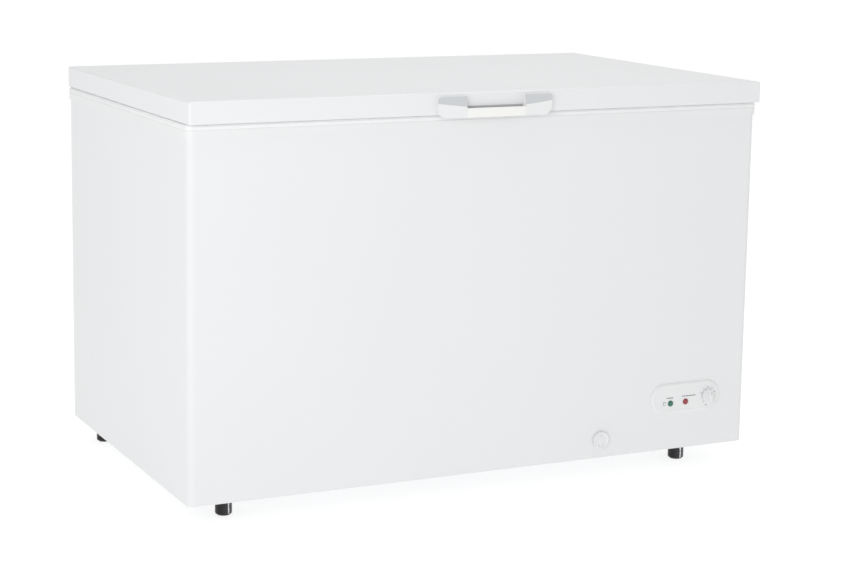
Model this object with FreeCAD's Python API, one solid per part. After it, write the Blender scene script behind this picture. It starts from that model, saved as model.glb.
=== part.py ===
"""Chest freezer on four levelling feet: insulated cabinet, hinged lid, compressor bay at the right.

Row frame, millimetres: X to the right along the front, Y from front to back, Z up.
The origin is the middle of the overall footprint, on the floor.
Most of the cabinet is described by its inset: the distance inwards from the cabinet's outer faces.
"""
import FreeCAD, Part
import math
import os

Vector = FreeCAD.Vector

# ---------------------------------------------------------------- driving dimensions (mm)
CABINET_W = 1300.0
CABINET_D = 780.0
OVERALL_H = 853.0
GROUND_GAP = 53.0
HANDLE_REACH = 16.0
LID_FRONT = 14.0
LID_SIDE = 2.0

RIM_Z0 = 780.0
RIM_Z1 = 797.0
RIM_PROUD = 3.5
LID_Z0 = 807.5

SHEET = 0.8
CORNER_R = 14.0
FOAM_T = 65.0
TUB_FLOOR = 123.0
STEP_X = 335.0
STEP_Z = 390.0
BAY_X = 400.0
BAY_TOP = 325.0
TUB_R = 40.0

FOOT_R = 17.5
STUD_R = 5.0
FOOT_FRONT_IN = (109.0, 96.0)
FOOT_REAR_IN = (55.0, 60.0)

HINGE_X = 400.0
HINGE_BACK = 13.0
HINGE_EAR_R = 8.2
HINGE_Z = 800.0
PIN_R = 3.0

RUN_FIT = 0.05
GAP = 0.3

# ---------------------------------------------------------------- places worked out from them
X1 = CABINET_W / 2
X0 = -X1
FRONT_REACH = LID_FRONT + HANDLE_REACH
REAR_REACH = HINGE_BACK + HINGE_EAR_R
Y0 = (FRONT_REACH - REAR_REACH - CABINET_D) / 2
Y1 = Y0 + CABINET_D
LID_Y0 = Y0 - LID_FRONT
LID_Y1 = Y1 + LID_SIDE
LID_X1 = X1 + LID_SIDE
TUB_IN = FOAM_T + 1.0
LEDGE_IN = 45.0
LEDGE_Z = RIM_Z1 - 22.0
HINGE_Y = Y1 + HINGE_BACK
SEAM_Y = Y1 - 55.0

PARTS = {}


# ---------------------------------------------------------------- shape helpers
def add(name, *solids):
    """Keep a node: one solid, or a group of separate ones."""
    shape = solids[0] if len(solids) == 1 else Part.makeCompound(list(solids))
    PARTS[name] = shape


def box(x0, x1, y0, y1, z0, z1):
    return Part.makeBox(x1 - x0, y1 - y0, z1 - z0, Vector(x0, y0, z0))


def rod(start, axis, radius, length):
    return Part.makeCylinder(radius, length, Vector(*start), Vector(*axis))


def pipe(start, axis, outer, inner, length):
    return rod(start, axis, outer, length).cut(rod(start, axis, inner, length))


def union(shapes):
    shapes = list(shapes)
    return shapes[0].multiFuse(shapes[1:]).removeSplitter() if len(shapes) > 1 else shapes[0]


def outline(x0, x1, y0, y1, radius, z):
    """Closed rectangle with round corners, lying at height z."""
    if radius <= 0:
        corners = [(x0, y0), (x1, y0), (x1, y1), (x0, y1), (x0, y0)]
        return Part.makePolygon([Vector(x, y, z) for x, y in corners])
    edges = []
    centres = [(x1 - radius, y0 + radius, -90), (x1 - radius, y1 - radius, 0),
               (x0 + radius, y1 - radius, 90), (x0 + radius, y0 + radius, 180)]
    arcs = []
    for cx, cy, start in centres:
        points = []
        for turn in (0, 45, 90):
            angle = math.radians(start + turn)
            points.append(Vector(cx + radius * math.cos(angle), cy + radius * math.sin(angle), z))
        arcs.append(points)
    for index, points in enumerate(arcs):
        following = arcs[(index + 1) % 4][0]
        edges.append(Part.Arc(*points).toShape())
        if points[2].distanceToPoint(following) > 1e-6:
            edges.append(Part.LineSegment(points[2], following).toShape())
    return Part.Wire(edges)


def rounded(x0, x1, y0, y1, z0, z1, radius, top=0.0, bottom=0.0):
    """Upright block with round corners, and rounded top or bottom edges when asked."""
    face = Part.Face(outline(x0, x1, y0, y1, radius, z0))
    solid = face.extrude(Vector(0, 0, z1 - z0))
    for size, level in ((top, z1), (bottom, z0)):
        if size > 0:
            rim = [e for e in solid.Edges if all(abs(v.Z - level) < 1e-6 for v in e.Vertexes)]
            solid = solid.makeFillet(size, rim)
    return solid


def slab(inset, z0, z1, radius=None, top=0.0):
    """Block that follows the cabinet's outline at an inset."""
    if radius is None:
        radius = max(CORNER_R - inset, 1.0)
    return rounded(X0 + inset, X1 - inset, Y0 + inset, Y1 - inset, z0, z1, radius, top)


def ring(outer, inner, z0, z1, outer_r=None, inner_r=None):
    """Band round the cabinet between two insets."""
    return slab(outer, z0, z1, outer_r).cut(slab(inner, z0 - 1, z1 + 1, inner_r))


def lid_slab(inset, z0, z1, top=0.0):
    """Block that follows the lid's outline at an inset."""
    radius = max(9.0 - inset, 1.0)
    return rounded(-LID_X1 + inset, LID_X1 - inset, LID_Y0 + inset, LID_Y1 - inset,
                   z0, z1, radius, top)


def prism(points, axis, length):
    """Straight extrusion of a closed polygon of 3-D points."""
    corners = [Vector(*p) for p in points]
    face = Part.Face(Part.makePolygon(corners + corners[:1]))
    return face.extrude(Vector(*axis) * length)


def bent_path(points, radius):
    """Straight runs joined by tangent arcs; a point's fourth number is its own bend radius."""
    corners = [Vector(*p[:3]) for p in points]
    bends = [p[3] if len(p) > 3 else radius for p in points]
    edges = []
    here = corners[0]
    for before, corner, after, radius in zip(corners, corners[1:], corners[2:], bends[1:]):
        back = (before - corner).normalize()
        ahead = (after - corner).normalize()
        half = back.getAngle(ahead) / 2
        trim = radius / math.tan(half)
        start = corner + back * trim
        end = corner + ahead * trim
        middle_way = (back + ahead).normalize()
        middle = corner + middle_way * (radius / math.sin(half) - radius)
        edges.append(Part.LineSegment(here, start).toShape())
        edges.append(Part.Arc(start, middle, end).toShape())
        here = end
    edges.append(Part.LineSegment(here, corners[-1]).toShape())
    return Part.Wire(edges)


def tube(points, bend, radius):
    """Round tube or wire along a bent path."""
    path = bent_path(points, bend)
    first = Vector(*points[0][:3])
    direction = (Vector(*points[1][:3]) - first).normalize()
    section = Part.Wire(Part.makeCircle(radius, first, direction))
    return path.makePipeShell([section], True, False)


def screw(head, axis, head_r, head_h, shank_r, length):
    """Pan-head screw: head centre on the seat, axis pointing into the work."""
    inwards = Vector(*axis)
    seat = Vector(*head)
    body = Part.makeCylinder(head_r, head_h, seat - inwards * head_h, inwards)
    crown = [e for e in body.Edges
             if e.Curve.TypeId == "Part::GeomCircle"
             and e.Curve.Center.distanceToPoint(seat - inwards * head_h) < 1e-6]
    body = body.makeFillet(head_h * 0.45, crown)
    return body.fuse(Part.makeCylinder(shank_r, length, seat, inwards)).removeSplitter()


# ---------------------------------------------------------------- feet
def foot_places():
    fx, fy = FOOT_FRONT_IN
    rx, ry = FOOT_REAR_IN
    return {
        "front_left": (X0 + fx, Y0 + fy),
        "front_right": (X1 - fx, Y0 + fy),
        "rear_left": (X0 + rx, Y1 - ry),
        "rear_right": (X1 - rx, Y1 - ry),
    }


PAN_Z = GROUND_GAP + SHEET + RUN_FIT
PAN_T = 1.0
TRAY_T = 2.0
BRACKET_T = 3.0
NUT_H = 9.0
SOLE_H = 2.0


def feet():
    """Levelling feet: a glossy plastic barrel on a stud, over a sole that doesn't turn."""
    peg_r = 6.0
    peg_top = 9.0
    for place, (x, y) in foot_places().items():
        sole = rod((x, y, 0), (0, 0, 1), 13.0, SOLE_H + 0.5)
        sole = sole.fuse(rod((x, y, 0), (0, 0, 1), peg_r, peg_top)).removeSplitter()
        add("foot_sole_" + place, sole)

        barrel = rod((x, y, SOLE_H), (0, 0, 1), FOOT_R, GROUND_GAP - SOLE_H - GAP)
        lower = [e for e in barrel.Edges
                 if e.Curve.TypeId == "Part::GeomCircle" and e.Curve.Center.z < SOLE_H + 0.01]
        barrel = barrel.makeFillet(3.0, lower)
        barrel = barrel.cut(rod((x, y, 0), (0, 0, 1), 13.3, SOLE_H + 0.8))
        barrel = barrel.cut(rod((x, y, 0), (0, 0, 1), peg_r + RUN_FIT, peg_top + 0.5))
        stud = rod((x, y, peg_top + 1), (0, 0, 1), STUD_R, 93.0 - peg_top)
        tip = Part.makeCone(STUD_R, STUD_R - 1.5, 2.0, Vector(x, y, 94.0))
        add("foot_screw_" + place, union([barrel, stud, tip]))


def foot_bracket(x, y, seat):
    """Stiffening plate with a welded nut, over one foot."""
    plate = box(x - 35, x + 35, y - 35, y + 35, seat, seat + BRACKET_T)
    nut_points = []
    for corner in range(6):
        angle = math.radians(60 * corner)
        nut_points.append((x + 9.8 * math.cos(angle), y + 9.8 * math.sin(angle), seat + BRACKET_T))
    nut = prism(nut_points, (0, 0, 1), NUT_H)
    hole = rod((x, y, seat - 1), (0, 0, 1), STUD_R + RUN_FIT, BRACKET_T + NUT_H + 2)
    return plate.fuse(nut).removeSplitter().cut(hole)


# ---------------------------------------------------------------- cabinet sheet metal
WINDOW = (408.0, 584.0, 131.0, 200.0)
DRAIN_X, DRAIN_Z = 284.0, 92.0
GRILLE = (40.0, 330.0, 95.0, 295.0)
COVER = (412.0, 638.0, 74.0, 306.0)
GLAND = (612.0, 268.0)


def stud_holes(z0, z1, radius):
    return [rod((x, y, z0), (0, 0, 1), radius, z1 - z0) for x, y in foot_places().values()]


def outer_shell():
    """Front and sides in one bent sheet, hemmed inwards at the bottom."""
    top = RIM_Z1 - 3.5
    wall = ring(0, SHEET, GROUND_GAP, top)
    hem = ring(SHEET, 12.0, GROUND_GAP, GROUND_GAP + SHEET)
    shell = wall.fuse(hem).removeSplitter()
    shell = shell.cut(box(X0 - 1, X1 + 1, SEAM_Y - 0.25, Y1 + 1, 0, OVERALL_H))
    wx0, wx1, wz0, wz1 = WINDOW
    shell = shell.cut(box(wx0 + 14, wx1 - 14, Y0 - 1, Y0 + 3, wz0 + 11, wz1 - 11))
    shell = shell.cut(rod((DRAIN_X, Y0 - 1, DRAIN_Z), (0, 1, 0), 16.2, 4))
    gy0, gy1, gz0, gz1 = GRILLE
    shell = shell.cut(box(X1 - 3, X1 + 1, gy0 + 12, gy1 - 12, gz0 + 12, gz1 - 12))
    add("outer_shell", shell)


def rear_panel():
    """Back sheet that wraps round the rear corners and laps under the side sheets."""
    top = RIM_Z1 - 3.5
    wall = ring(0, SHEET, GROUND_GAP, top)
    hem = ring(SHEET, 12.0, GROUND_GAP, GROUND_GAP + SHEET)
    wrap = wall.fuse(hem).removeSplitter()
    wrap = wrap.cut(box(X0 - 1, X1 + 1, Y0 - 5, SEAM_Y + 0.25, 0, OVERALL_H))
    lap = ring(SHEET + RUN_FIT, 2 * SHEET + RUN_FIT, GROUND_GAP + 2, top)
    lap = lap.common(box(X0, X1, SEAM_Y - 12, SEAM_Y + 2, 0, OVERALL_H))
    joggle = ring(SHEET - 0.2, 2 * SHEET + RUN_FIT, GROUND_GAP + 2, top)
    joggle = joggle.common(box(X0, X1, SEAM_Y + 0.25, SEAM_Y + 3, 0, OVERALL_H))
    panel = union([wrap, lap, joggle])
    cx0, cx1, cz0, cz1 = COVER
    panel = panel.cut(box(cx0 + 12, cx1 - 12, Y1 - 3, Y1 + 1, cz0 + 12, cz1 - 12))
    add("rear_panel", panel)


def base_pan():
    """Galvanised floor under the insulation, with turned-up edges; it stops at the compressor bay."""
    inset = 2 * SHEET + 3 * RUN_FIT
    plate = slab(inset, PAN_Z, PAN_Z + PAN_T)
    rim = ring(inset, inset + 1.0, PAN_Z, PAN_Z + 18)
    edge = box(BAY_X - 2.1, BAY_X - 1.1, Y0 + 4, Y1 - 4, PAN_Z, PAN_Z + 18)
    pan = plate.fuse(rim).common(box(X0, BAY_X - 1.1, Y0, Y1, 0, 100))
    pan = union([pan, edge])
    for hole in stud_holes(40, 70, STUD_R + 1):
        pan = pan.cut(hole)
    add("base_pan", pan)


def compressor_bay():
    """Partition of the bay, and the tray that carries the compressor and the two right feet."""
    inset = 2 * SHEET + 3 * RUN_FIT
    roof_z = BAY_TOP + SHEET
    bent = box(BAY_X - SHEET, X1, Y0, Y1, PAN_Z, roof_z)
    bent = bent.cut(box(BAY_X, X1, Y0, Y1, 0, BAY_TOP))
    add("bay_partition", bent.common(slab(inset, PAN_Z, roof_z)))

    tray_x0, tray_x1 = BAY_X + 1, X1 - inset
    tray_y0, tray_y1 = Y0 + inset, Y1 - inset
    tray = rounded(tray_x0, tray_x1, tray_y0, tray_y1, PAN_Z, PAN_Z + TRAY_T, CORNER_R - 1)
    for x in (tray_x0, tray_x1 - TRAY_T):
        tray = tray.fuse(box(x, x + TRAY_T, tray_y0 + 15, tray_y1 - 15, PAN_Z, PAN_Z + 22))
    for row in range(6):
        y = -150 + 34 * row
        tray = tray.cut(rounded(440, 600, y, y + 14, 40, 70, 6.9))
    for hole in stud_holes(40, 70, STUD_R + 1):
        tray = tray.cut(hole)
    add("compressor_tray", tray.removeSplitter())


def brackets():
    solids = []
    for x, y in foot_places().values():
        seat = PAN_Z + (TRAY_T if x > 0 else PAN_T)
        solids.append(foot_bracket(x, y, seat))
    add("foot_brackets", *solids)


# ---------------------------------------------------------------- tub, foam and refrigerant coils
COND_R = 2.5
COND_IN = 2 * SHEET + 0.4 + COND_R
COND_LEVELS = [410 + 55 * i for i in range(7)]
EVAP_R = 4.0
EVAP_IN = FOAM_T - EVAP_R - 0.1
LOW_LEVELS = [160 + 55 * i for i in range(4)]
HIGH_LEVELS = [420 + 55 * i for i in range(7)]
COIL_GAP = (-220.0, -120.0)
STEP_CLEAR = 6.0
TIGHT_BEND = 10.0
RISER_BEND = 24.0


def tub_block(inset, floor, top, radius, skin):
    """Block of the tub's shape: the full plan above the step, the shorter plan beside it."""
    block = slab(inset, floor, top, radius)
    step = box(STEP_X + skin, X1, Y0, Y1, floor - 5, STEP_Z - skin)
    return block.cut(step)


def inner_liner():
    cavity = tub_block(TUB_IN, TUB_FLOOR, LEDGE_Z + 20, TUB_R - 1, 0)
    skin = tub_block(FOAM_T, TUB_FLOOR - 1, LEDGE_Z - 4, TUB_R, 1)
    liner = skin.cut(cavity)
    liner = liner.cut(rod((DRAIN_X, DRAIN_TUB_Y, TUB_FLOOR - 5), (0, 0, 1), 10.2, 10))
    add("inner_liner", liner)
    return skin


def condenser_path():
    """Serpentine behind the left side, front and right side sheets, one turn per level."""
    x0, x1 = X0 + COND_IN, X1 - COND_IN
    front, back = Y0 + COND_IN, SEAM_Y - 25
    points = [(x1, back, BAY_TOP + 6)]
    for number, z in enumerate(COND_LEVELS):
        turn = [(x1, back, z), (x1, front, z), (x0, front, z), (x0, back, z)]
        points += turn if number % 2 == 0 else turn[::-1]
    return points


def evaporator_path():
    """Serpentine round the tub: short turns beside the step, then full turns above it."""
    x0 = X0 + EVAP_IN
    y0, y1 = Y0 + EVAP_IN, Y1 - EVAP_IN
    left, right = COIL_GAP
    wide = TUB_R + EVAP_R + 0.1
    points = []
    low_x1 = STEP_X + 1 + EVAP_R + STEP_CLEAR
    turns = [(z, low_x1, TIGHT_BEND) for z in LOW_LEVELS]
    turns += [(z, X1 - EVAP_IN, wide) for z in HIGH_LEVELS]
    for number, (z, x1, bend) in enumerate(turns):
        turn = [(left, y1, z), (x0, y1, z, wide), (x0, y0, z, wide), (x1, y0, z, bend),
                (x1, y1, z, bend), (right, y1, z)]
        points += turn if number % 2 == 0 else turn[::-1]
    return points


def coil_grooves():
    """Channels that the coils lie in, so that the foam clears them."""
    grooves = []
    slack = 0.4
    half = COND_R + slack
    front_part = box(X0, X1, Y0, SEAM_Y - 25 + half, 0, OVERALL_H)
    for z in COND_LEVELS:
        channel = ring(COND_IN - half, COND_IN + half, z - half, z + half)
        grooves.append(channel.common(front_part))
    back = SEAM_Y - 25
    for x in (X0 + COND_IN, X1 - COND_IN):
        grooves.append(box(x - half, x + half, back - CORNER_R, back + half,
                           BAY_TOP, COND_LEVELS[-1] + half))
    half = EVAP_R + slack
    inner, outer = EVAP_IN - half, FOAM_T + 1
    for z in HIGH_LEVELS:
        grooves.append(ring(inner, outer, z - half, z + half, TUB_R + 9, TUB_R - 2))
    step_x0 = STEP_X + 1
    step_x1 = step_x0 + EVAP_R + STEP_CLEAR + half
    for z in LOW_LEVELS:
        band = ring(inner, outer, z - half, z + half, TUB_R + 9, TUB_R - 2)
        band = band.common(box(X0, step_x1, Y0, Y1, 0, OVERALL_H))
        cap = box(step_x0, step_x1, Y0 + inner, Y1 - inner, z - half, z + half)
        grooves.append(band.fuse(cap))
    left, right = COIL_GAP
    for x0, x1 in ((left - RISER_BEND, left + half), (right - half, right + RISER_BEND)):
        grooves.append(box(x0, x1, Y1 - outer, Y1 - inner,
                           LOW_LEVELS[0] - half, HIGH_LEVELS[-1] + half))
    return grooves


def cabinet_foam(tub_skin):
    """Foamed-in-place insulation: what is left between sheets, tub and bay."""
    inset = 2 * SHEET + 0.4
    foam = slab(inset, PAN_Z + PAN_T + 0.1, RIM_Z1 - 3.2)
    foam = foam.cut(ring(-5, inset + 1.8, PAN_Z, PAN_Z + 19, CORNER_R, 9))
    foam = foam.cut(box(BAY_X - 3.2, X1 + 1, Y0 - 1, Y1 + 1, 0, BAY_TOP + SHEET + 0.1))
    foam = foam.cut(slab(LEDGE_IN - 0.2, LEDGE_Z - 4, OVERALL_H, 4))
    foam = foam.cut(tub_skin)
    tools = coil_grooves()
    for x, y in foot_places().values():
        if x < 0:
            tools.append(box(x - 36, x + 36, y - 36, y + 36, 50, PAN_Z + PAN_T + 14))
            tools.append(rod((x, y, 50), (0, 0, 1), 7, 50))
    tools.append(rod((DRAIN_X, DRAIN_TUB_Y, DRAIN_Z - 13), (0, 0, 1), 13.2, 50))
    tools.append(rod((DRAIN_X, Y0, DRAIN_Z), (0, 1, 0), 13.2, DRAIN_TUB_Y - Y0 + 13))
    tools.append(rod((DRAIN_X, Y0, DRAIN_Z), (0, 1, 0), 16.2, 49))
    for sx in (-1, 1):
        tools.append(box(sx * HINGE_X - 22, sx * HINGE_X + 22, Y1 - 20, Y1, 655, 778))
    foam = foam.cut(Part.makeCompound(tools))
    add("cabinet_foam", max(foam.Solids, key=lambda s: s.Volume))


def coils():
    add("condenser_coil", tube(condenser_path(), CORNER_R - COND_IN, COND_R))
    add("evaporator_coil", tube(evaporator_path(), RISER_BEND, EVAP_R))


def top_frame():
    """Moulded collar that joins the sheets to the tub and carries the basket on its inner ledge."""
    outside = slab(-RIM_PROUD, RIM_Z0, RIM_Z1, CORNER_R + RIM_PROUD, top=2.6)
    outside = outside.cut(slab(-0.1, RIM_Z0 - 1, RIM_Z1 - 3, CORNER_R))
    outside = outside.cut(slab(LEDGE_IN + 3, RIM_Z0 - 1, RIM_Z1 + 1, 10))
    step = ring(LEDGE_IN, LEDGE_IN + 3, LEDGE_Z - 3, RIM_Z1 - 1, 12, 10)
    ledge = ring(LEDGE_IN, TUB_IN + 3, LEDGE_Z - 3, LEDGE_Z, 12, TUB_R - 4)
    lip = ring(TUB_IN + 0.3, TUB_IN + 3, LEDGE_Z - 23, LEDGE_Z, TUB_R - 1.3, TUB_R - 4)
    frame = union([outside, step, ledge, lip])
    for sx in (-1, 1):
        frame = frame.cut(box(sx * HINGE_X - 24, sx * HINGE_X + 24, Y1 - 0.05, Y1 + 5,
                              RIM_Z0 - 1, RIM_Z1 + 1))
    add("top_frame", frame)


# ---------------------------------------------------------------- refrigeration set
COMP = (520.0, 190.0)
COMP_Z = PAN_Z + TRAY_T + 14.0
COMP_HALF = (82.0, 100.0)
COMP_TOP = COMP_Z + 182.0
LEG_X, LEG_Y = 82.0, 62.0


def compressor_can(shrink):
    x, y = COMP
    hx, hy = COMP_HALF
    z0 = COMP_Z + 4 + shrink
    z1 = COMP_TOP - shrink
    soft = 38.0 - shrink
    return rounded(x - hx + shrink, x + hx - shrink, y - hy + shrink, y + hy - shrink,
                   z0, z1, 78 - shrink, top=soft, bottom=soft)


def compressor():
    """Welded steel can with its foot plates, on rubber grommets; the pump and motor are inside."""
    x, y = COMP
    hx, hy = COMP_HALF
    middle = (COMP_Z + COMP_TOP) / 2
    seam = rounded(x - hx - 3, x + hx + 3, y - hy - 3, y + hy + 3, middle - 3, middle + 3, 80)
    can = compressor_can(0).fuse(seam)
    for sy in (-1, 1):
        leg = rounded(x - LEG_X - 18, x + LEG_X + 18, y + sy * LEG_Y - 18, y + sy * LEG_Y + 18,
                      COMP_Z, COMP_Z + 3.5, 14)
        post = box(x - 40, x + 40, y + sy * LEG_Y - 14, y + sy * LEG_Y + 14, COMP_Z, COMP_Z + 40)
        can = can.fuse(leg).fuse(post)
    filling_stub = tube([(x - hx + 2, y - 20, COMP_Z + 60), (x - hx - 18, y - 20, COMP_Z + 60),
                         (x - hx - 18, y - 20, COMP_Z + 145)], 8, 3.0)
    can = can.fuse(filling_stub).removeSplitter().cut(compressor_can(4))
    for sx in (-1, 1):
        for sy in (-1, 1):
            can = can.cut(rod((x + sx * LEG_X, y + sy * LEG_Y, COMP_Z - 1), (0, 0, 1), 8.2, 8))
    add("compressor", can)

    motor = rounded(x - 52, x + 52, y - 62, y + 62, COMP_Z + 30, COMP_Z + 110, 48)
    crankcase = rounded(x - 40, x + 40, y - 45, y + 45, COMP_Z + 110, COMP_Z + 150, 20)
    add("compressor_pump", motor.fuse(crankcase).removeSplitter())

    grommets, bolts = [], []
    tray_top = PAN_Z + TRAY_T
    for sx in (-1, 1):
        for sy in (-1, 1):
            gx, gy = x + sx * LEG_X, y + sy * LEG_Y
            lower = rod((gx, gy, tray_top), (0, 0, 1), 13, COMP_Z - tray_top)
            neck = rod((gx, gy, COMP_Z - 1), (0, 0, 1), 8, 7)
            upper = rod((gx, gy, COMP_Z + 3.6), (0, 0, 1), 11, 5)
            bore = rod((gx, gy, tray_top - 1), (0, 0, 1), 4.1, 40)
            grommets.append(union([lower, neck, upper]).cut(bore))
            bolts.append(screw((gx, gy, COMP_Z + 8.7), (0, 0, -1), 8, 5, 4.0,
                               COMP_Z + 8.7 - tray_top))
    add("compressor_grommets", *grommets)
    add("compressor_bolts", *bolts)

    top = COMP_Z + 128
    side = y - hy - 3.2
    cover = rounded(x - 34, x + 34, side - 34, side, COMP_Z + 55, top, 8, top=4)
    cover = cover.cut(rounded(x - 31.5, x + 31.5, side - 31.5, side + 5,
                              COMP_Z + 50, top - 2.5, 6))
    add("terminal_cover", cover)


def refrigerant_lines():
    """Copper lines between compressor, condenser, drier and evaporator."""
    x, y = COMP
    hx = COMP_HALF[0]
    roof = BAY_TOP - 0.2
    out_z, back_z = COMP_Z + 60, COMP_Z + 75
    right = x + hx
    add("discharge_line", tube([(right, y - 50, out_z), (right + 26, y - 50, out_z),
                                (right + 26, y - 50, 285), (right + 26, y + 90, 285),
                                (right + 26, y + 90, roof)], 10, 3.0))
    left = x - hx
    add("suction_line", tube([(left, y + 30, back_z), (left - 22, y + 30, back_z),
                              (left - 22, y + 30, 300), (left - 22, y - 150, 300),
                              (BAY_X + 0.2, y - 150, 300)], 10, 4.0))
    drier_x, drier_y = BAY_X + 22, -40.0
    body = rod((drier_x, drier_y, 150), (0, 0, 1), 10, 90)
    lower = Part.makeCone(3, 10, 12, Vector(drier_x, drier_y, 138))
    upper = Part.makeCone(10, 3.2, 12, Vector(drier_x, drier_y, 240))
    inlet = rod((drier_x, drier_y, 251.5), (0, 0, 1), 3.2, roof - 251.5)
    add("filter_drier", union([body, lower, upper, inlet]))

    cap_r = 1.2
    turns = [(drier_x, drier_y, 138), (drier_x, drier_y, 120), (drier_x, drier_y - 60, 120),
             (drier_x + 50, drier_y - 60, 120), (drier_x + 50, drier_y - 120, 120),
             (drier_x, drier_y - 120, 120), (drier_x, drier_y - 120, 200),
             (BAY_X + 0.2, drier_y - 120, 200)]
    add("capillary_tube", tube(turns, 6, cap_r))


# ---------------------------------------------------------------- grille, cover, controls
def side_grille():
    """Louvred vent in the right side."""
    y0, y1, z0, z1 = GRILLE
    plate = box(X1, X1 + 2.4, y0, y1, z0, z1)
    edges = [e for e in plate.Edges
             if abs(e.Vertexes[0].Y - e.Vertexes[1].Y) < 1e-6
             and abs(e.Vertexes[0].Z - e.Vertexes[1].Z) < 1e-6]
    plate = plate.makeFillet(12, edges)
    spigot = box(X1 - 8, X1 + 1, y0 + 12.5, y1 - 12.5, z0 + 12.5, z1 - 12.5)
    spigot = spigot.cut(box(X1 - 9, X1, y0 + 15, y1 - 15, z0 + 15, z1 - 15))
    grille = plate.fuse(spigot)
    count = 11
    pitch = (z1 - z0 - 44) / count
    for column in ((y0 + 22, (y0 + y1) / 2 - 6), ((y0 + y1) / 2 + 6, y1 - 22)):
        for row in range(count):
            z = z0 + 22 + pitch * (row + 0.5)
            grille = grille.cut(box(X1 - 4, X1 + 4, column[0], column[1], z - 3.6, z + 3.6))
            blade = prism([(X1 - 7, column[0] - 1, z - 5.0), (X1 - 7, column[0] - 1, z - 3.4),
                           (X1 + 2.0, column[0] - 1, z + 1.2), (X1 + 2.0, column[0] - 1, z - 0.4)],
                          (0, 1, 0), column[1] - column[0] + 2)
            grille = grille.fuse(blade)
    bars = [box(X1 - 7, X1 + 1, y, y + 2, z0 + 13, z1 - 13)
            for y in (y0 + 21, (y0 + y1) / 2 - 6, (y0 + y1) / 2 + 4, y1 - 23)]
    add("side_grille", union([grille] + bars))


def rear_cover():
    """Slotted sheet over the compressor bay's service opening."""
    x0, x1, z0, z1 = COVER
    cover = box(x0, x1, Y1 + 0.05, Y1 + 1.05, z0, z1)
    rib = box(x0 + 14, x1 - 14, Y1 - 5, Y1 + 0.05, z0 + 14, z1 - 14)
    rib = rib.cut(box(x0 + 15, x1 - 15, Y1 - 6, Y1 + 1, z0 + 15, z1 - 15))
    cover = cover.fuse(rib)
    for row in range(8):
        z = z0 + 30 + 22 * row
        for column in range(2):
            x = x0 + 26 + 76 * column
            slot = box(x, x + 64, Y1 - 1, Y1 + 2, z, z + 8)
            ends = [e for e in slot.Edges
                    if abs(e.Vertexes[0].X - e.Vertexes[1].X) < 1e-6
                    and abs(e.Vertexes[0].Z - e.Vertexes[1].Z) < 1e-6]
            cover = cover.cut(slot.makeFillet(3.9, ends))
    gx, gz = GLAND
    cover = cover.cut(rod((gx, Y1 - 1, gz), (0, 1, 0), 8.1, 4))
    add("rear_cover", cover.removeSplitter())

    flange = rod((gx, Y1 + 1.1, gz), (0, 1, 0), 11, 3)
    nose = Part.makeCone(8.0, 6.4, 7, Vector(gx, Y1 + 4.1, gz), Vector(0, 1, 0))
    inner = rod((gx, Y1 - 4.9, gz), (0, 1, 0), 8.0, 6.5)
    bore = rod((gx, Y1 - 6, gz), (0, 1, 0), 4.5, 20)
    add("power_cord_gland", union([flange, nose, inner]).cut(bore))

    solids = []
    for x in (x0 + 6, x1 - 6):
        for z in (z0 + 6, (z0 + z1) / 2, z1 - 6):
            solids.append(screw((x, Y1 + 1.1, z), (0, -1, 0), 3.6, 2.2, 1.7, 1.9))
    gy0, gy1, gz0, gz1 = GRILLE
    for y in (gy0 + 9, gy1 - 9):
        for z in (gz0 + 9, gz1 - 9):
            solids.append(screw((X1 + 2.4, y, z), (-1, 0, 0), 3.4, 0.9, 1.6, 3.0))
    return solids


PANEL_T = 4.0
LAMPS = {"power_lamp": (457.0, 156.0), "fault_lamp": (495.5, 157.0)}
KNOB = (553.0, 166.0)
LENS_R = 6.4
SHAFT_R = 3.0


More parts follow.
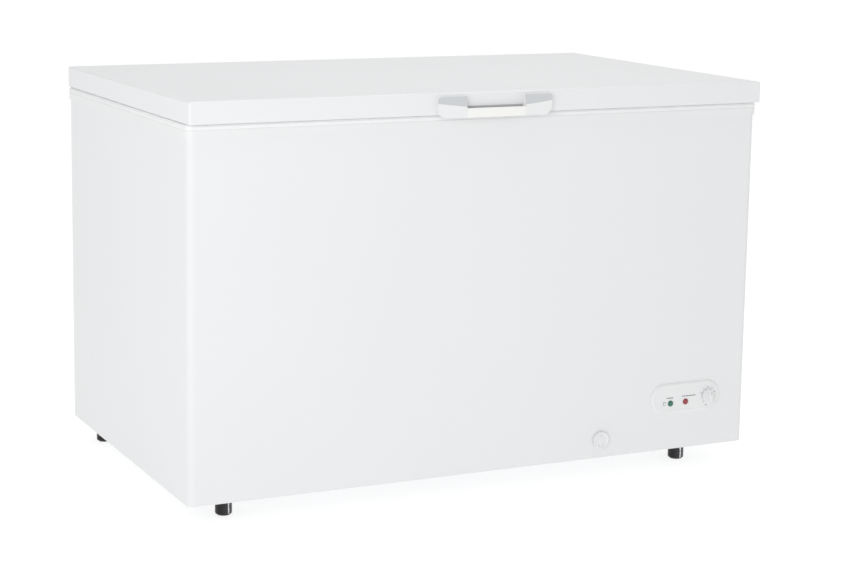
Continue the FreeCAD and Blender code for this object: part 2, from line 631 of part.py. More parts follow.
def control_panel():
    """Oval bezel in the front's lower right corner, with two lamps and the thermostat behind it."""
    x0, x1, z0, z1 = WINDOW
    radius = (z1 - z0) / 2 - 0.5
    plate = rounded(x0, x1, z0, z1, 0, PANEL_T, radius, top=1.6)
    plate.rotate(Vector(0, 0, 0), Vector(1, 0, 0), 90)
    plate.translate(Vector(0, Y0 - 0.05, 0))
    skirt = box(x0 + 14.5, x1 - 14.5, Y0 - 0.5, Y0 + 9, z0 + 11.5, z1 - 11.5)
    skirt = skirt.cut(box(x0 + 16.5, x1 - 16.5, Y0 - 0.04, Y0 + 10, z0 + 13.5, z1 - 13.5))
    panel = plate.fuse(skirt).removeSplitter()
    for x, z in LAMPS.values():
        panel = panel.cut(rod((x, Y0 - 10, z), (0, 1, 0), LENS_R - 1, 20))
    kx, kz = KNOB
    panel = panel.cut(rod((kx, Y0 - 10, kz), (0, 1, 0), 5.3, 20))
    add("control_panel", panel)

    face = Y0 - 0.05 - PANEL_T
    for name, (x, z) in LAMPS.items():
        dome = rod((x, face - 2.2, z), (0, 1, 0), LENS_R, 2.15)
        front = [e for e in dome.Edges
                 if e.Curve.TypeId == "Part::GeomCircle" and e.Curve.Center.y < face - 2]
        dome = dome.makeFillet(1.6, front)
        stem = rod((x, face - 0.5, z), (0, 1, 0), LENS_R - 1.1, 24)
        tabs = [box(x + dx - 0.4, x + dx + 0.4, face + 23, face + 31, z - 2.4, z + 2.4)
                for dx in (-2.6, 2.6)]
        add(name, union([dome, stem] + tabs))

    body = rounded(kx - 17, kx + 17, Y0 + 9, Y0 + 37, kz - 21, kz + 13, 3)
    bushing = rod((kx, face + 0.5, kz), (0, 1, 0), 5.2, 9 + PANEL_T)
    bore = rod((kx, face, kz), (0, 1, 0), SHAFT_R + RUN_FIT, 30)
    add("thermostat", body.fuse(bushing).removeSplitter().cut(bore))

    shaft = rod((kx, face - 8, kz), (0, 1, 0), SHAFT_R, 30)
    add("thermostat_shaft", shaft)
    skirt_front = face - 0.35
    disc = rod((kx, skirt_front - 5, kz), (0, 1, 0), 14.5, 5)
    disc = disc.makeFillet(1.2, [e for e in disc.Edges if e.Curve.TypeId == "Part::GeomCircle"
                                 and e.Curve.Center.y < skirt_front - 4])
    ridge = rounded(kx - 4.2, kx + 4.2, kz - 13.2, kz + 13.2, 0, 10, 4.1, top=1.6)
    ridge.rotate(Vector(0, 0, 0), Vector(1, 0, 0), 90)
    ridge.translate(Vector(0, skirt_front - 4.5, 0))
    pocket = rod((kx, face - 8.1, kz), (0, 1, 0), SHAFT_R + 0.02, 10)
    add("thermostat_knob", disc.fuse(ridge).removeSplitter().cut(pocket))


# ---------------------------------------------------------------- drain
DRAIN_TUB_Y = Y0 + TUB_IN + 44.0
SPOUT_R = 13.0
SPOUT_LEN = 45.0


def drain():
    """Defrost drain: tub plug, tube in the foam, and a pull-out outlet with a turning dial."""
    x, z = DRAIN_X, DRAIN_Z
    flange = rod((x, Y0 - 1.5, z), (0, 1, 0), 19.5, 1.45)
    barrel = rod((x, Y0 - 1, z), (0, 1, 0), 16.0, SPOUT_LEN + 2)
    bore = rod((x, Y0 - 2, z), (0, 1, 0), SPOUT_R + RUN_FIT, SPOUT_LEN + 1)
    end_bore = rod((x, Y0 + 40, z), (0, 1, 0), 9.0, 20)
    add("drain_sleeve", union([flange, barrel]).cut(bore).cut(end_bore))

    end_y = Y0 + SPOUT_LEN + 1.2
    drop = rod((x, DRAIN_TUB_Y, z - 11), (0, 0, 1), 11, TUB_FLOOR - 1.2 - z + 11)
    run = rod((x, end_y, z), (0, 1, 0), 11, DRAIN_TUB_Y - end_y)
    drop_bore = rod((x, DRAIN_TUB_Y, z - 9), (0, 0, 1), 9, 60)
    run_bore = rod((x, end_y - 1, z), (0, 1, 0), 9, DRAIN_TUB_Y - end_y + 1)
    add("drain_tube", drop.fuse(run).removeSplitter().cut(drop_bore.fuse(run_bore)))

    start = Y0 - 1.8
    slider = pipe((x, start, z), (0, 1, 0), SPOUT_R, 10.05, SPOUT_LEN - 1.5)
    slider = slider.cut(box(x - 6, x + 6, start + 10, start + 22, z - 20, z))
    add("drain_spout", slider)

    dial = rod((x, start - 5.3, z), (0, 1, 0), 18.8, 5.0)
    front = [e for e in dial.Edges
             if e.Curve.TypeId == "Part::GeomCircle" and e.Curve.Center.y < start - 5]
    dial = dial.makeFillet(1.5, front)
    dial = dial.cut(rod((x, start - 6, z), (0, 1, 0), 15.3, 1.9))
    grip = box(x - 2.2, x + 2.2, start - 5.2, start - 2, z - 15.6, z + 6)
    arrow = prism([(x - 6.5, start - 5.2, z + 4), (x + 6.5, start - 5.2, z + 4),
                   (x, start - 5.2, z + 14)], (0, 1, 0), 3)
    hub = pipe((x, start - 2, z), (0, 1, 0), 10.0, 7.6, 34)
    hub = hub.cut(rod((x, start + 16, z), (0, 0, 1), 5, 20))
    add("drain_dial", union([dial, grip, arrow, hub]))

    head = rod((x, DRAIN_TUB_Y, TUB_FLOOR + 0.3), (0, 0, 1), 15, 5)
    head = head.makeFillet(1.5, [e for e in head.Edges if e.Curve.TypeId == "Part::GeomCircle"
                                 and e.Curve.Center.z > TUB_FLOOR + 5])
    plug_stem = rod((x, DRAIN_TUB_Y, TUB_FLOOR - 14), (0, 0, 1), 8.6, 15)
    tab = rounded(x - 2, x + 2, DRAIN_TUB_Y - 9, DRAIN_TUB_Y + 9,
                  TUB_FLOOR + 5, TUB_FLOOR + 15, 1.9, top=1.5)
    add("tub_drain_plug", union([head, plug_stem, tab]))


# ---------------------------------------------------------------- lid
PLUG_IN = 57.0
PLUG_Z = 788.0
GASKET_IN = 0.5
GASKET_W = 20.0


def lid():
    """Foamed lid: painted steel pan, moulded inner panel with a shallow plug, magnetic gasket."""
    pan = lid_slab(0, LID_Z0, OVERALL_H, top=6.0)
    pan = pan.cut(lid_slab(SHEET, LID_Z0 - 1, OVERALL_H - SHEET, top=5.2))
    hem = lid_slab(SHEET - 0.1, LID_Z0, LID_Z0 + SHEET).cut(slab(0.2, LID_Z0 - 1, LID_Z0 + 5))
    add("lid_skin", pan.fuse(hem).removeSplitter())

    flange_z = LID_Z0 + SHEET + 0.05
    plate = lid_slab(1.2, flange_z, flange_z + 2).cut(slab(PLUG_IN + 2, 780, 820, 24))
    walls = ring(PLUG_IN, PLUG_IN + 2, PLUG_Z, flange_z + 2, 26, 24)
    floor = slab(PLUG_IN, PLUG_Z, PLUG_Z + 2, 26)
    add("lid_liner", union([plate, walls, floor]))

    block = lid_slab(1.4, flange_z + 2.1, OVERALL_H - SHEET - 0.2, top=5.0)
    plug = slab(PLUG_IN + 2.2, PLUG_Z + 2.1, flange_z + 3, 24)
    add("lid_foam", block.fuse(plug).removeSplitter())

    seat_z = flange_z - 0.05
    outer, inner = GASKET_IN, GASKET_IN + GASKET_W
    foot_ring = ring(outer + 3, inner - 3, seat_z - 2.5, seat_z, 7, 5)
    bulb = ring(outer, inner, RIM_Z1 + GAP, seat_z - 2.4, 9, 5)
    hollow = ring(outer + 2.5, inner - 2.5, RIM_Z1 + 1.6, seat_z - 3.9, 7, 5)
    add("lid_gasket", foot_ring.fuse(bulb).removeSplitter().cut(hollow))


HANDLE_HALF = 130.0
HANDLE_OUTER_REACH = 12.0
HANDLE_TOP_REACH = 10.0
GRIP_HALF = 67.0
GRIP_T = 7.0
GRIP_H = 19.0
HANDLE_Z0 = LID_Z0 - 5.5
HANDLE_Z1 = LID_Z0 + 37.5
CAP_T = 1.6
CAP_FOOT_OUTER = LID_Z0 + 24.5
CAP_FOOT_INNER = LID_Z0 + 17.5


def handle_outline():
    """Front view of the whole handle: tight top corners, generous lower ones."""
    def plate(z0, z1, radius):
        face = Part.Face(outline(-HANDLE_HALF, HANDLE_HALF, z0, z1, radius, 0))
        solid = face.extrude(Vector(0, 0, 60))
        solid.rotate(Vector(0, 0, 0), Vector(1, 0, 0), 90)
        solid.translate(Vector(0, LID_Y0 + 10, 0))
        return solid
    return plate(HANDLE_Z0, HANDLE_Z1 + 30, 19).common(plate(HANDLE_Z0 - 30, HANDLE_Z1, 6))


def handle_loft(side, section):
    """Ruled block between the shallow outer end and the deep inner end of a handle foot.

    section gives the (reach, height) corners for a front reach and a cap's lower edge.
    """
    ends = []
    for x, reach, cap_foot in ((HANDLE_HALF, HANDLE_OUTER_REACH, CAP_FOOT_OUTER),
                               (GRIP_HALF, HANDLE_REACH, CAP_FOOT_INNER)):
        points = [Vector(side * x, LID_Y0 - out, z) for out, z in section(reach, cap_foot)]
        ends.append(Part.makePolygon(points + points[:1]))
    return Part.makeLoft(ends, True, True)


def foot_section(reach, cap_foot):
    """Handle foot: flat top, a sloping seat for the cap, and an upright front below it."""
    seat = CAP_T + RUN_FIT
    return [(0, HANDLE_Z1), (HANDLE_TOP_REACH - seat, HANDLE_Z1), (reach - seat, cap_foot - RUN_FIT),
            (reach, cap_foot - RUN_FIT), (reach, HANDLE_Z0), (0, HANDLE_Z0)]


def cap_section(reach, cap_foot):
    """Cap: a thin plate that fills the seat."""
    return [(HANDLE_TOP_REACH, HANDLE_Z1), (reach, cap_foot), (reach - CAP_T, cap_foot),
            (HANDLE_TOP_REACH - CAP_T, HANDLE_Z1)]


def handle():
    """Bow handle: two splayed feet with grey caps, a straight grip, and a plate behind it."""
    shape = handle_outline()
    caps = []
    for name, side in (("handle_end_left", -1), ("handle_end_right", 1)):
        add(name, handle_loft(side, foot_section).common(shape).removeSplitter())
        caps.append(handle_loft(side, cap_section).common(shape))
    half = GRIP_HALF - RUN_FIT
    caps.append(box(-half, half, LID_Y0 - 1.2, LID_Y0, LID_Z0 + 2, LID_Z0 + GRIP_H - 0.5))
    add("handle_caps", *caps)

    y0 = LID_Y0 - HANDLE_REACH
    grip = box(-half, half, y0, y0 + GRIP_T, HANDLE_Z0, HANDLE_Z0 + GRIP_H)
    long_edges = [e for e in grip.Edges if abs(e.Vertexes[0].X - e.Vertexes[1].X) > 50]
    add("handle_grip", grip.makeFillet(2.6, long_edges))


# ---------------------------------------------------------------- hinges
def hinges():
    """Counterbalanced lid hinges: channel on the cabinet's back, eared leaf on the lid."""
    screws, lid_screws, pins, springs = [], [], [], []
    base_t, arm_t = 2.5, 2.5
    half = 21.0
    ear_y = HINGE_Y + HINGE_EAR_R
    for name, x in (("left", -HINGE_X), ("right", HINGE_X)):
        back = box(x - half, x + half, Y1 + 0.05, Y1 + base_t, 655, 797)
        base = back
        for side in (-1, 1):
            flange_x = x + side * (half - base_t / 2)
            web = box(flange_x - base_t / 2, flange_x + base_t / 2, Y1 + 0.05, HINGE_Y + 8,
                      655, HINGE_Z)
            knuckle = rod((flange_x - base_t / 2, HINGE_Y, HINGE_Z), (1, 0, 0), 8, base_t)
            base = base.fuse(web).fuse(knuckle)
        shelf = box(x - half, x + half, Y1 + 0.05, HINGE_Y + 8, 668, 671)
        bore = rod((x - half - 1, HINGE_Y, HINGE_Z), (1, 0, 0), PIN_R + RUN_FIT, 2 * half + 2)
        add("hinge_base_" + name, base.fuse(shelf).removeSplitter().cut(bore))

        ear_out = half - base_t - 0.5
        leaf = box(x - 26, x + 26, LID_Y1 + 0.05, LID_Y1 + arm_t, LID_Z0 + 3, OVERALL_H - 8)
        arm = leaf
        for side in (-1, 1):
            inner = x + side * ear_out - (arm_t if side > 0 else 0)
            ear = rod((inner, HINGE_Y, HINGE_Z), (1, 0, 0), HINGE_EAR_R, arm_t)
            arm_web = prism([(inner, LID_Y1 + 0.05, LID_Z0 + 3), (inner, LID_Y1 + 0.05, LID_Z0 + 33),
                             (inner, LID_Y1 + 4, LID_Z0 + 33), (inner, ear_y, HINGE_Z + 12),
                             (inner, ear_y, HINGE_Z), (inner, HINGE_Y, HINGE_Z),
                             (inner, HINGE_Y - 6, HINGE_Z + 5)], (1, 0, 0), arm_t)
            arm = arm.fuse(ear).fuse(arm_web)
        arm = arm.removeSplitter()
        arm = arm.cut(rod((x - half, HINGE_Y, HINGE_Z), (1, 0, 0), PIN_R + 0.01, 2 * half))
        add("hinge_arm_" + name, arm)

        pins.append(rod((x - half - 1.5, HINGE_Y, HINGE_Z), (1, 0, 0), PIN_R, 2 * half + 3))
        for dx in (-9, 9):
            for z in (661.5, 783):
                screws.append(screw((x + dx, Y1 + base_t, z), (0, -1, 0), 4.5, 2.6, 2.4, 14))
            for z in (LID_Z0 + 13, LID_Z0 + 27):
                lid_screws.append(screw((x + 2.4 * dx, LID_Y1 + arm_t, z), (0, -1, 0),
                                        4.2, 2.4, 2.2, 12))
        springs.append(counterbalance_spring(x))
    add("hinge_pins", *pins)
    add("lid_screws", *lid_screws)
    add("hinge_springs", *springs)
    return screws


def counterbalance_spring(x):
    """Compression spring standing in a hinge channel, in the closed lid's position."""
    wire, mean = 1.6, 7.0
    low, high = 673.5, 788.0
    helix = Part.makeHelix(9.5, high - low, mean)
    start = Vector(mean, 0, 0)
    section = Part.Wire(Part.makeCircle(wire, start, Vector(0, 1, 0)))
    coil = Part.Wire(helix).makePipeShell([section], True, True)
    coil.translate(Vector(x, HINGE_Y - 0.6, low))
    return coil


# ---------------------------------------------------------------- basket
BASKET_W = 270.0
BASKET_END_GAP = 12.0


def basket():
    """Hanging basket as a thin open tray; it slides sideways on the frame's ledge."""
    x1 = X1 - TUB_IN - BASKET_END_GAP
    x0 = x1 - BASKET_W
    hang = LEDGE_Z + 0.4
    body_in = TUB_IN + 8.0
    floor = 575.0
    outer = rounded(x0, x1, Y0 + body_in, Y1 - body_in, floor, hang + 6, 18)
    inner = rounded(x0 + 2, x1 - 2, Y0 + body_in + 2, Y1 - body_in - 2, floor + 2, hang + 10, 16)
    rim = rounded(x0, x1, Y0 + LEDGE_IN + 6, Y1 - LEDGE_IN - 6, hang, hang + 6, 6)
    add("wire_basket", outer.fuse(rim).cut(inner).removeSplitter())


# ---------------------------------------------------------------- build
def drill(fasteners, *nodes):
    """Open each node where the fasteners pass through it."""
    for node in nodes:
        PARTS[node] = PARTS[node].cut(PARTS[fasteners])


def build():
    os.makedirs("parts", exist_ok=True)
    outer_shell()
    rear_panel()
    base_pan()
    compressor_bay()
    brackets()
    feet()
    tub_skin = inner_liner()
    cabinet_foam(tub_skin)
    coils()
    top_frame()
    compressor()
    refrigerant_lines()
    side_grille()
    cover_screws = rear_cover()
    add("cover_screws", *cover_screws)
    control_panel()
    drain()
    lid()
    handle()
    hinge_screws = hinges()
    add("hinge_screws", *hinge_screws)
    basket()
    drill("cover_screws", "outer_shell", "rear_panel", "rear_cover", "side_grille")
    drill("hinge_screws", "hinge_base_left", "hinge_base_right", "rear_panel", "cabinet_foam")
    drill("lid_screws", "hinge_arm_left", "hinge_arm_right", "lid_skin", "lid_foam")
    for name, shape in PARTS.items():
        if not shape.isValid() or not shape.Solids:
            raise RuntimeError(name + " isn't a valid solid")
        shape.exportStep(os.path.join("parts", name + ".step"))
    print(len(PARTS), "nodes")


build()
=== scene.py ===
"""Looks of the chest freezer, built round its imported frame.

Shapes are worked out in millimetres and stored in metres. X runs to the right along the front,
Y from front to back and Z up, as in the frame.
"""
import math

import bmesh
import bpy
import numpy as np
from mathutils import Matrix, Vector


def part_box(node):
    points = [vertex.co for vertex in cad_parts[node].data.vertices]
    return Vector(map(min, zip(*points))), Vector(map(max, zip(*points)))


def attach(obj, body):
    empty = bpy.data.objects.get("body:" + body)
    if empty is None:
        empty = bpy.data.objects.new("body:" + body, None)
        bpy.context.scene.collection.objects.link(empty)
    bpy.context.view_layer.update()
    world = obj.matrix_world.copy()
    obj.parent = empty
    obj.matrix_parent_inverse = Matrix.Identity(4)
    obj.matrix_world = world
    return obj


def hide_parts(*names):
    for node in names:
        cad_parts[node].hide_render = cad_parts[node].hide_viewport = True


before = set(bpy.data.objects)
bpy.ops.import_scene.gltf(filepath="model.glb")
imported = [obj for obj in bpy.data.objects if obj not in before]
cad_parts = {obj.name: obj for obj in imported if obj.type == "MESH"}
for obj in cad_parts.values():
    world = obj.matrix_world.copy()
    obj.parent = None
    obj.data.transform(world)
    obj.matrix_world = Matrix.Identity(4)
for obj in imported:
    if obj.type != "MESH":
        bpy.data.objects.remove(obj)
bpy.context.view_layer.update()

MM = 0.001
TINY = 0.04
MERGE = 4e-6
FEET = ("front_left", "front_right", "rear_left", "rear_right")


# ------------------------------------------------------------------ finishes
class Value:
    """A number coming out of a node; arithmetic on it adds Math nodes."""

    def __init__(self, finish, socket):
        self.finish = finish
        self.socket = socket

    def math(self, operation, first, second):
        return self.finish.node("ShaderNodeMath", {"operation": operation}, {0: first, 1: second})

    def __add__(self, other):
        return self.math("ADD", self, other)

    def __radd__(self, other):
        return self.math("ADD", other, self)

    def __rsub__(self, other):
        return self.math("SUBTRACT", other, self)

    def __mul__(self, other):
        return self.math("MULTIPLY", self, other)

    def __rmul__(self, other):
        return self.math("MULTIPLY", other, self)


class Finish:
    """One material: a Principled shader, and the nodes that vary it over the surface."""

    def __init__(self, name, **constants):
        self.material = bpy.data.materials.new(name)
        self.material.use_nodes = True
        self.tree = self.material.node_tree
        self.tree.nodes.clear()
        self.shader = self.tree.nodes.new("ShaderNodeBsdfPrincipled")
        output = self.tree.nodes.new("ShaderNodeOutputMaterial")
        self.tree.links.new(self.shader.outputs[0], output.inputs["Surface"])
        for socket, value in constants.items():
            self.shader.inputs[socket.replace("_", " ")].default_value = value
        self.place = self.node("ShaderNodeTexCoord", {}, {}, "Object")

    def node(self, kind, settings, inputs, output=0):
        """Adds a node: its settings first, then the values or links of its sockets."""
        made = self.tree.nodes.new(kind)
        for key, value in settings.items():
            setattr(made, key, value)
        for key, value in inputs.items():
            self.feed(made.inputs[key], value)
        return Value(self, made.outputs[output])

    def feed(self, socket, value):
        if isinstance(value, Value):
            self.tree.links.new(value.socket, socket)
        else:
            socket.default_value = value

    def vary(self, **inputs):
        """Feeds the shader's own sockets."""
        for key, value in inputs.items():
            self.feed(self.shader.inputs[key.replace("_", " ")], value)

    def noise(self, scale, detail=2.0, rough=0.5, place=None):
        return self.node("ShaderNodeTexNoise", {}, {
            "Vector": place or self.place, "Scale": scale, "Detail": detail, "Roughness": rough})

    def cells(self, scale, feature="F1", output="Distance"):
        return self.node("ShaderNodeTexVoronoi", {"feature": feature},
                         {"Vector": self.place, "Scale": scale}, output)

    def stretched(self, x, y, z):
        """The place on the object with each axis stretched."""
        return self.node("ShaderNodeMapping", {}, {"Vector": self.place, "Scale": (x, y, z)})

    def blend(self, share, first, second):
        """Colour that goes from the first to the second as share goes from 0 to 1."""
        return self.node("ShaderNodeMix", {"data_type": "RGBA"},
                         {0: share, 6: (*first, 1.0), 7: (*second, 1.0)}, 2)

    def bump(self, height, depth, strength=1.0):
        """Small relief: height from 0 to 1 stands for a depth in millimetres."""
        return self.node("ShaderNodeBump", {},
                         {"Height": height, "Distance": depth * MM, "Strength": strength})


def shade(colour, factor):
    return tuple(min(1.0, c * factor) for c in colour)


def painted(name, colour, gloss=0.3, peel=0.05):
    """Coil-coated sheet: faint orange peel, and gloss that drifts a little over the panel."""
    f = Finish(name, Specular_IOR_Level=0.32)
    drift = f.noise(2.2, 3.0)
    f.vary(Base_Color=f.blend(drift, shade(colour, 0.985), shade(colour, 1.01)),
           Roughness=gloss + 0.1 * f.noise(9.0, 4.0),
           Normal=f.bump(f.noise(420.0, 2.0), peel, 0.35))
    return f.material


def moulded(name, colour, gloss=0.32, grain=0.02, size=1500.0):
    """Injection-moulded plastic with a fine spark-eroded grain."""
    f = Finish(name, Specular_IOR_Level=0.5)
    f.vary(Base_Color=f.blend(f.noise(7.0), shade(colour, 0.98), shade(colour, 1.015)),
           Roughness=gloss + 0.12 * f.noise(60.0, 3.0),
           Normal=f.bump(f.noise(size, 2.0), grain, 0.4))
    return f.material


def glossy_black(name):
    """High-gloss black moulding with fine handling scratches."""
    f = Finish(name, Specular_IOR_Level=0.34)
    scratch = f.noise(900.0, 3.0, 0.6, f.stretched(1.0, 1.0, 0.06))
    f.vary(Base_Color=f.blend(f.noise(30.0), (0.004, 0.004, 0.005), (0.011, 0.011, 0.012)),
           Roughness=0.07 + 0.12 * scratch,
           Normal=f.bump(scratch, 0.01, 0.3))
    return f.material


def rubbery(name, colour):
    """Soft rubber or PVC: matt, with a dusty bloom."""
    f = Finish(name, Specular_IOR_Level=0.3)
    bloom = f.noise(25.0, 5.0, 0.6)
    f.vary(Base_Color=f.blend(bloom, shade(colour, 0.94), shade(colour, 1.06)),
           Roughness=0.55 + 0.25 * bloom,
           Normal=f.bump(f.noise(1800.0), 0.03, 0.5))
    return f.material


def enamelled(name):
    """Thick black stove enamel on a pressed can."""
    f = Finish(name, Specular_IOR_Level=0.5)
    f.vary(Base_Color=f.blend(f.noise(18.0, 4.0), (0.012, 0.012, 0.014), (0.028, 0.028, 0.03)),
           Roughness=0.28 + 0.25 * f.noise(40.0, 4.0),
           Normal=f.bump(f.noise(330.0, 3.0), 0.12, 0.5))
    return f.material


def cast(name):
    """As-cast iron: coarse skin with darker pits."""
    f = Finish(name, Metallic=1.0)
    skin = f.noise(500.0, 5.0, 0.65)
    f.vary(Base_Color=f.blend(skin, (0.1, 0.098, 0.095), (0.3, 0.295, 0.29)),
           Roughness=0.55 + 0.2 * skin,
           Normal=f.bump(skin, 0.35, 0.7))
    return f.material


def plated(name, dark, light, gloss=0.28, scale=120.0):
    """Bright zinc plating: cloudy sheen over fine drawing marks."""
    f = Finish(name, Metallic=1.0)
    cloud = f.noise(scale, 4.0, 0.6)
    f.vary(Base_Color=f.blend(cloud, dark, light),
           Roughness=gloss + 0.18 * cloud,
           Normal=f.bump(f.noise(2400.0), 0.015, 0.5))
    return f.material


def galvanised(name):
    """Hot-dip galvanised sheet: spangle crystals, each with its own tone and sheen."""
    f = Finish(name, Metallic=0.9)
    crystal = f.cells(85.0, "F1", "Color")
    tone = f.node("ShaderNodeSeparateColor", {}, {0: crystal}, "Red")
    f.vary(Base_Color=f.blend(tone, (0.46, 0.48, 0.5), (0.68, 0.7, 0.72)),
           Roughness=0.32 + 0.2 * tone,
           Normal=f.bump(tone + f.noise(900.0), 0.02, 0.4))
    return f.material


def embossed(name):
    """Lacquered aluminium sheet rolled with a stucco pattern: soft pebbles with narrow valleys."""
    f = Finish(name, Metallic=0.55, Specular_IOR_Level=0.5)
    pebble = f.cells(230.0, "SMOOTH_F1")
    height = 1.0 - pebble * 1.3 + 0.25 * f.noise(700.0, 2.0)
    f.vary(Base_Color=f.blend(f.noise(12.0, 3.0), (0.78, 0.79, 0.8), (0.87, 0.88, 0.89)),
           Roughness=0.3 + 0.14 * f.noise(30.0, 3.0),
           Normal=f.bump(height, 0.45, 0.8))
    return f.material


def coppery(name):
    """Drawn copper tube, bright with patches of brown oxide."""
    f = Finish(name, Metallic=1.0)
    oxide = f.noise(55.0, 5.0, 0.65)
    f.vary(Base_Color=f.blend(oxide, (0.86, 0.45, 0.29), (0.5, 0.24, 0.15)),
           Roughness=0.18 + 0.35 * oxide,
           Normal=f.bump(f.noise(1500.0), 0.02, 0.4))
    return f.material


def foamed(name):
    """Rigid polyurethane foam: straw-coloured skin with small blown cells."""
    f = Finish(name, Specular_IOR_Level=0.2)
    cell = f.cells(650.0)
    f.vary(Base_Color=f.blend(f.noise(14.0, 4.0), (0.8, 0.69, 0.42), (0.9, 0.82, 0.58)),
           Roughness=0.8 + 0.15 * cell,
           Normal=f.bump(cell, 0.4, 0.8))
    return f.material


def lens(name, colour, deep):
    """Coloured pilot-lamp lens: glossy face over a pattern of moulded prisms."""
    f = Finish(name, Specular_IOR_Level=0.6, Coat_Weight=0.6, Coat_Roughness=0.05)
    prism = f.cells(900.0)
    f.vary(Base_Color=f.blend(prism * 1.4, colour, deep),
           Roughness=0.16 + 0.1 * f.noise(200.0),
           Normal=f.bump(prism, 0.05, 0.25))
    return f.material


def printed(name):
    """Dark grey screen print, slightly mottled."""
    f = Finish(name, Specular_IOR_Level=0.4)
    f.vary(Base_Color=f.blend(f.noise(900.0), (0.075, 0.08, 0.085), (0.11, 0.115, 0.12)),
           Roughness=0.45 + 0.1 * f.noise(400.0))
    return f.material


WHITE = (0.768, 0.775, 0.782)
FINISHES = {
    "white_painted_steel": painted("white_painted_steel", WHITE),
    "galvanised_steel": galvanised("galvanised_steel"),
    "liner_aluminium": embossed("liner_aluminium"),
    "white_plastic": moulded("white_plastic", (0.77, 0.778, 0.782)),
    "ivory_plastic": moulded("ivory_plastic", (0.835, 0.835, 0.815), 0.26),
    "grey_plastic": moulded("grey_plastic", (0.56, 0.575, 0.59), 0.4),
    "black_plastic": glossy_black("black_plastic"),
    "black_rubber": rubbery("black_rubber", (0.022, 0.022, 0.023)),
    "grey_rubber": rubbery("grey_rubber", (0.83, 0.835, 0.84)),
    "compressor_black": enamelled("compressor_black"),
    "cast_iron": cast("cast_iron"),
    "copper": coppery("copper"),
    "zinc_steel": plated("zinc_steel", (0.5, 0.5, 0.47), (0.76, 0.76, 0.74)),
    "spring_steel": plated("spring_steel", (0.2, 0.2, 0.21), (0.38, 0.38, 0.39), 0.3),
    "insulation_foam": foamed("insulation_foam"),
    "green_lens": lens("green_lens", (0.008, 0.2, 0.13), (0.004, 0.09, 0.06)),
    "red_lens": lens("red_lens", (0.42, 0.02, 0.032), (0.2, 0.006, 0.012)),
    "basket_wire": moulded("basket_wire", (0.83, 0.835, 0.84), 0.22, 0.03, 700.0),
    "print": printed("print"),
    # shadow_grey is painted shade: a flat grey for the shadowed slit behind the handle grip
    "shadow_grey": moulded("shadow_grey", (0.42, 0.43, 0.44), 0.6),
}


def finish_frame_nodes():
    """Every node of the frame takes the finish named after its material slot."""
    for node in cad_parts.values():
        for place in node.material_slots:
            place.material = FINISHES[place.material.name.split(".")[0]]


# ------------------------------------------------------------------ surfaces
def node_box(name):
    """Lowest and highest corner of a frame node, in millimetres."""
    low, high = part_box(name)
    return np.array(low) / MM, np.array(high) / MM


def unit(vectors):
    return vectors / np.linalg.norm(vectors, axis=-1, keepdims=True)


def soften(corners, radii, steps=5):
    """Closed polygons with each corner turned into an arc of its own radius.

    The arc runs from one side's tangent point to the other's by spherical interpolation about
    its centre. corners is (..., corners, 2), so a whole stack of polygons is rounded at once.
    """
    p = np.asarray(corners, float)
    r = np.maximum(np.broadcast_to(np.asarray(radii, float), p.shape[:-1]), TINY)
    back = unit(np.roll(p, 1, -2) - p)
    ahead = unit(np.roll(p, -1, -2) - p)
    half = np.arccos(np.clip((back * ahead).sum(-1), -1, 1)) / 2
    centre = p + unit(back + ahead) * (r / np.sin(half))[..., None]
    start = p + back * (r / np.tan(half))[..., None] - centre
    end = p + ahead * (r / np.tan(half))[..., None] - centre
    sweep = (np.pi - 2 * half)[..., None, None]
    t = np.linspace(0, 1, steps + 1)[:, None]
    arc = np.sin((1 - t) * sweep) * start[..., None, :] + np.sin(t * sweep) * end[..., None, :]
    points = centre[..., None, :] + arc / np.sin(sweep)
    return points.reshape(*p.shape[:-2], -1, 2)


def rounded_loop(x0, x1, y0, y1, radius, steps=8):
    """Rectangles with quarter-circle corners, anticlockwise; one loop for each array entry."""
    x0, x1, y0, y1, radius = (v[..., None] for v in np.broadcast_arrays(x0, x1, y0, y1, radius))
    angle = np.radians(np.arange(4)[:, None] * 90 - 90 + np.linspace(0, 90, steps + 1)).ravel()
    right = np.repeat([True, True, False, False], steps + 1)
    back = np.repeat([False, True, True, False], steps + 1)
    x = np.where(right, x1 - radius, x0 + radius) + radius * np.cos(angle)
    y = np.where(back, y1 - radius, y0 + radius) + radius * np.sin(angle)
    return np.stack([x, y], -1)


def collar(plan, corner, profile, steps=8):
    """A profile of (inset, height) carried round a rectangle whose corners shrink inwards."""
    inset, height = np.asarray(profile, float).T
    x0, x1, y0, y1 = plan
    radius = np.maximum(corner - inset, 0.5)
    loop = rounded_loop(x0 + inset, x1 - inset, y0 + inset, y1 - inset, radius, steps)
    level = np.broadcast_to(height[:, None, None], (*loop.shape[:2], 1))
    return np.concatenate([loop, level], -1)


def turned(profile, centre, axis, steps=48):
    """A profile of (radius, distance along the axis) turned about the axis."""
    radius, along = np.asarray(profile, float).T[:, :, None, None]
    axis = unit(np.asarray(axis, float))
    side = unit(np.cross(axis, (0.36, 0.48, 0.8)))
    angle = np.linspace(0, 2 * np.pi, steps, endpoint=False)[:, None]
    spoke = np.cos(angle) * side + np.sin(angle) * np.cross(axis, side)
    return np.asarray(centre, float) + along * axis + radius * spoke


def skin(points, around=True, closed=False, caps=False):
    """Quads over a grid of points. around joins each row's ends, closed joins the last row to
    the first, and caps fills the first and the last row."""
    rows, columns = points.shape[:2]
    index = np.arange(rows * columns).reshape(rows, columns)
    if around:
        index = np.concatenate([index, index[:, :1]], 1)
    if closed:
        index = np.concatenate([index, index[:1]], 0)
    quads = np.stack([index[:-1, :-1], index[:-1, 1:], index[1:, 1:], index[1:, :-1]], -1)
    faces = quads.reshape(-1, 4).tolist()
    if caps:
        faces += [index[0, :columns].tolist()[::-1], index[-1, :columns].tolist()]
    return points.reshape(-1, 3), faces


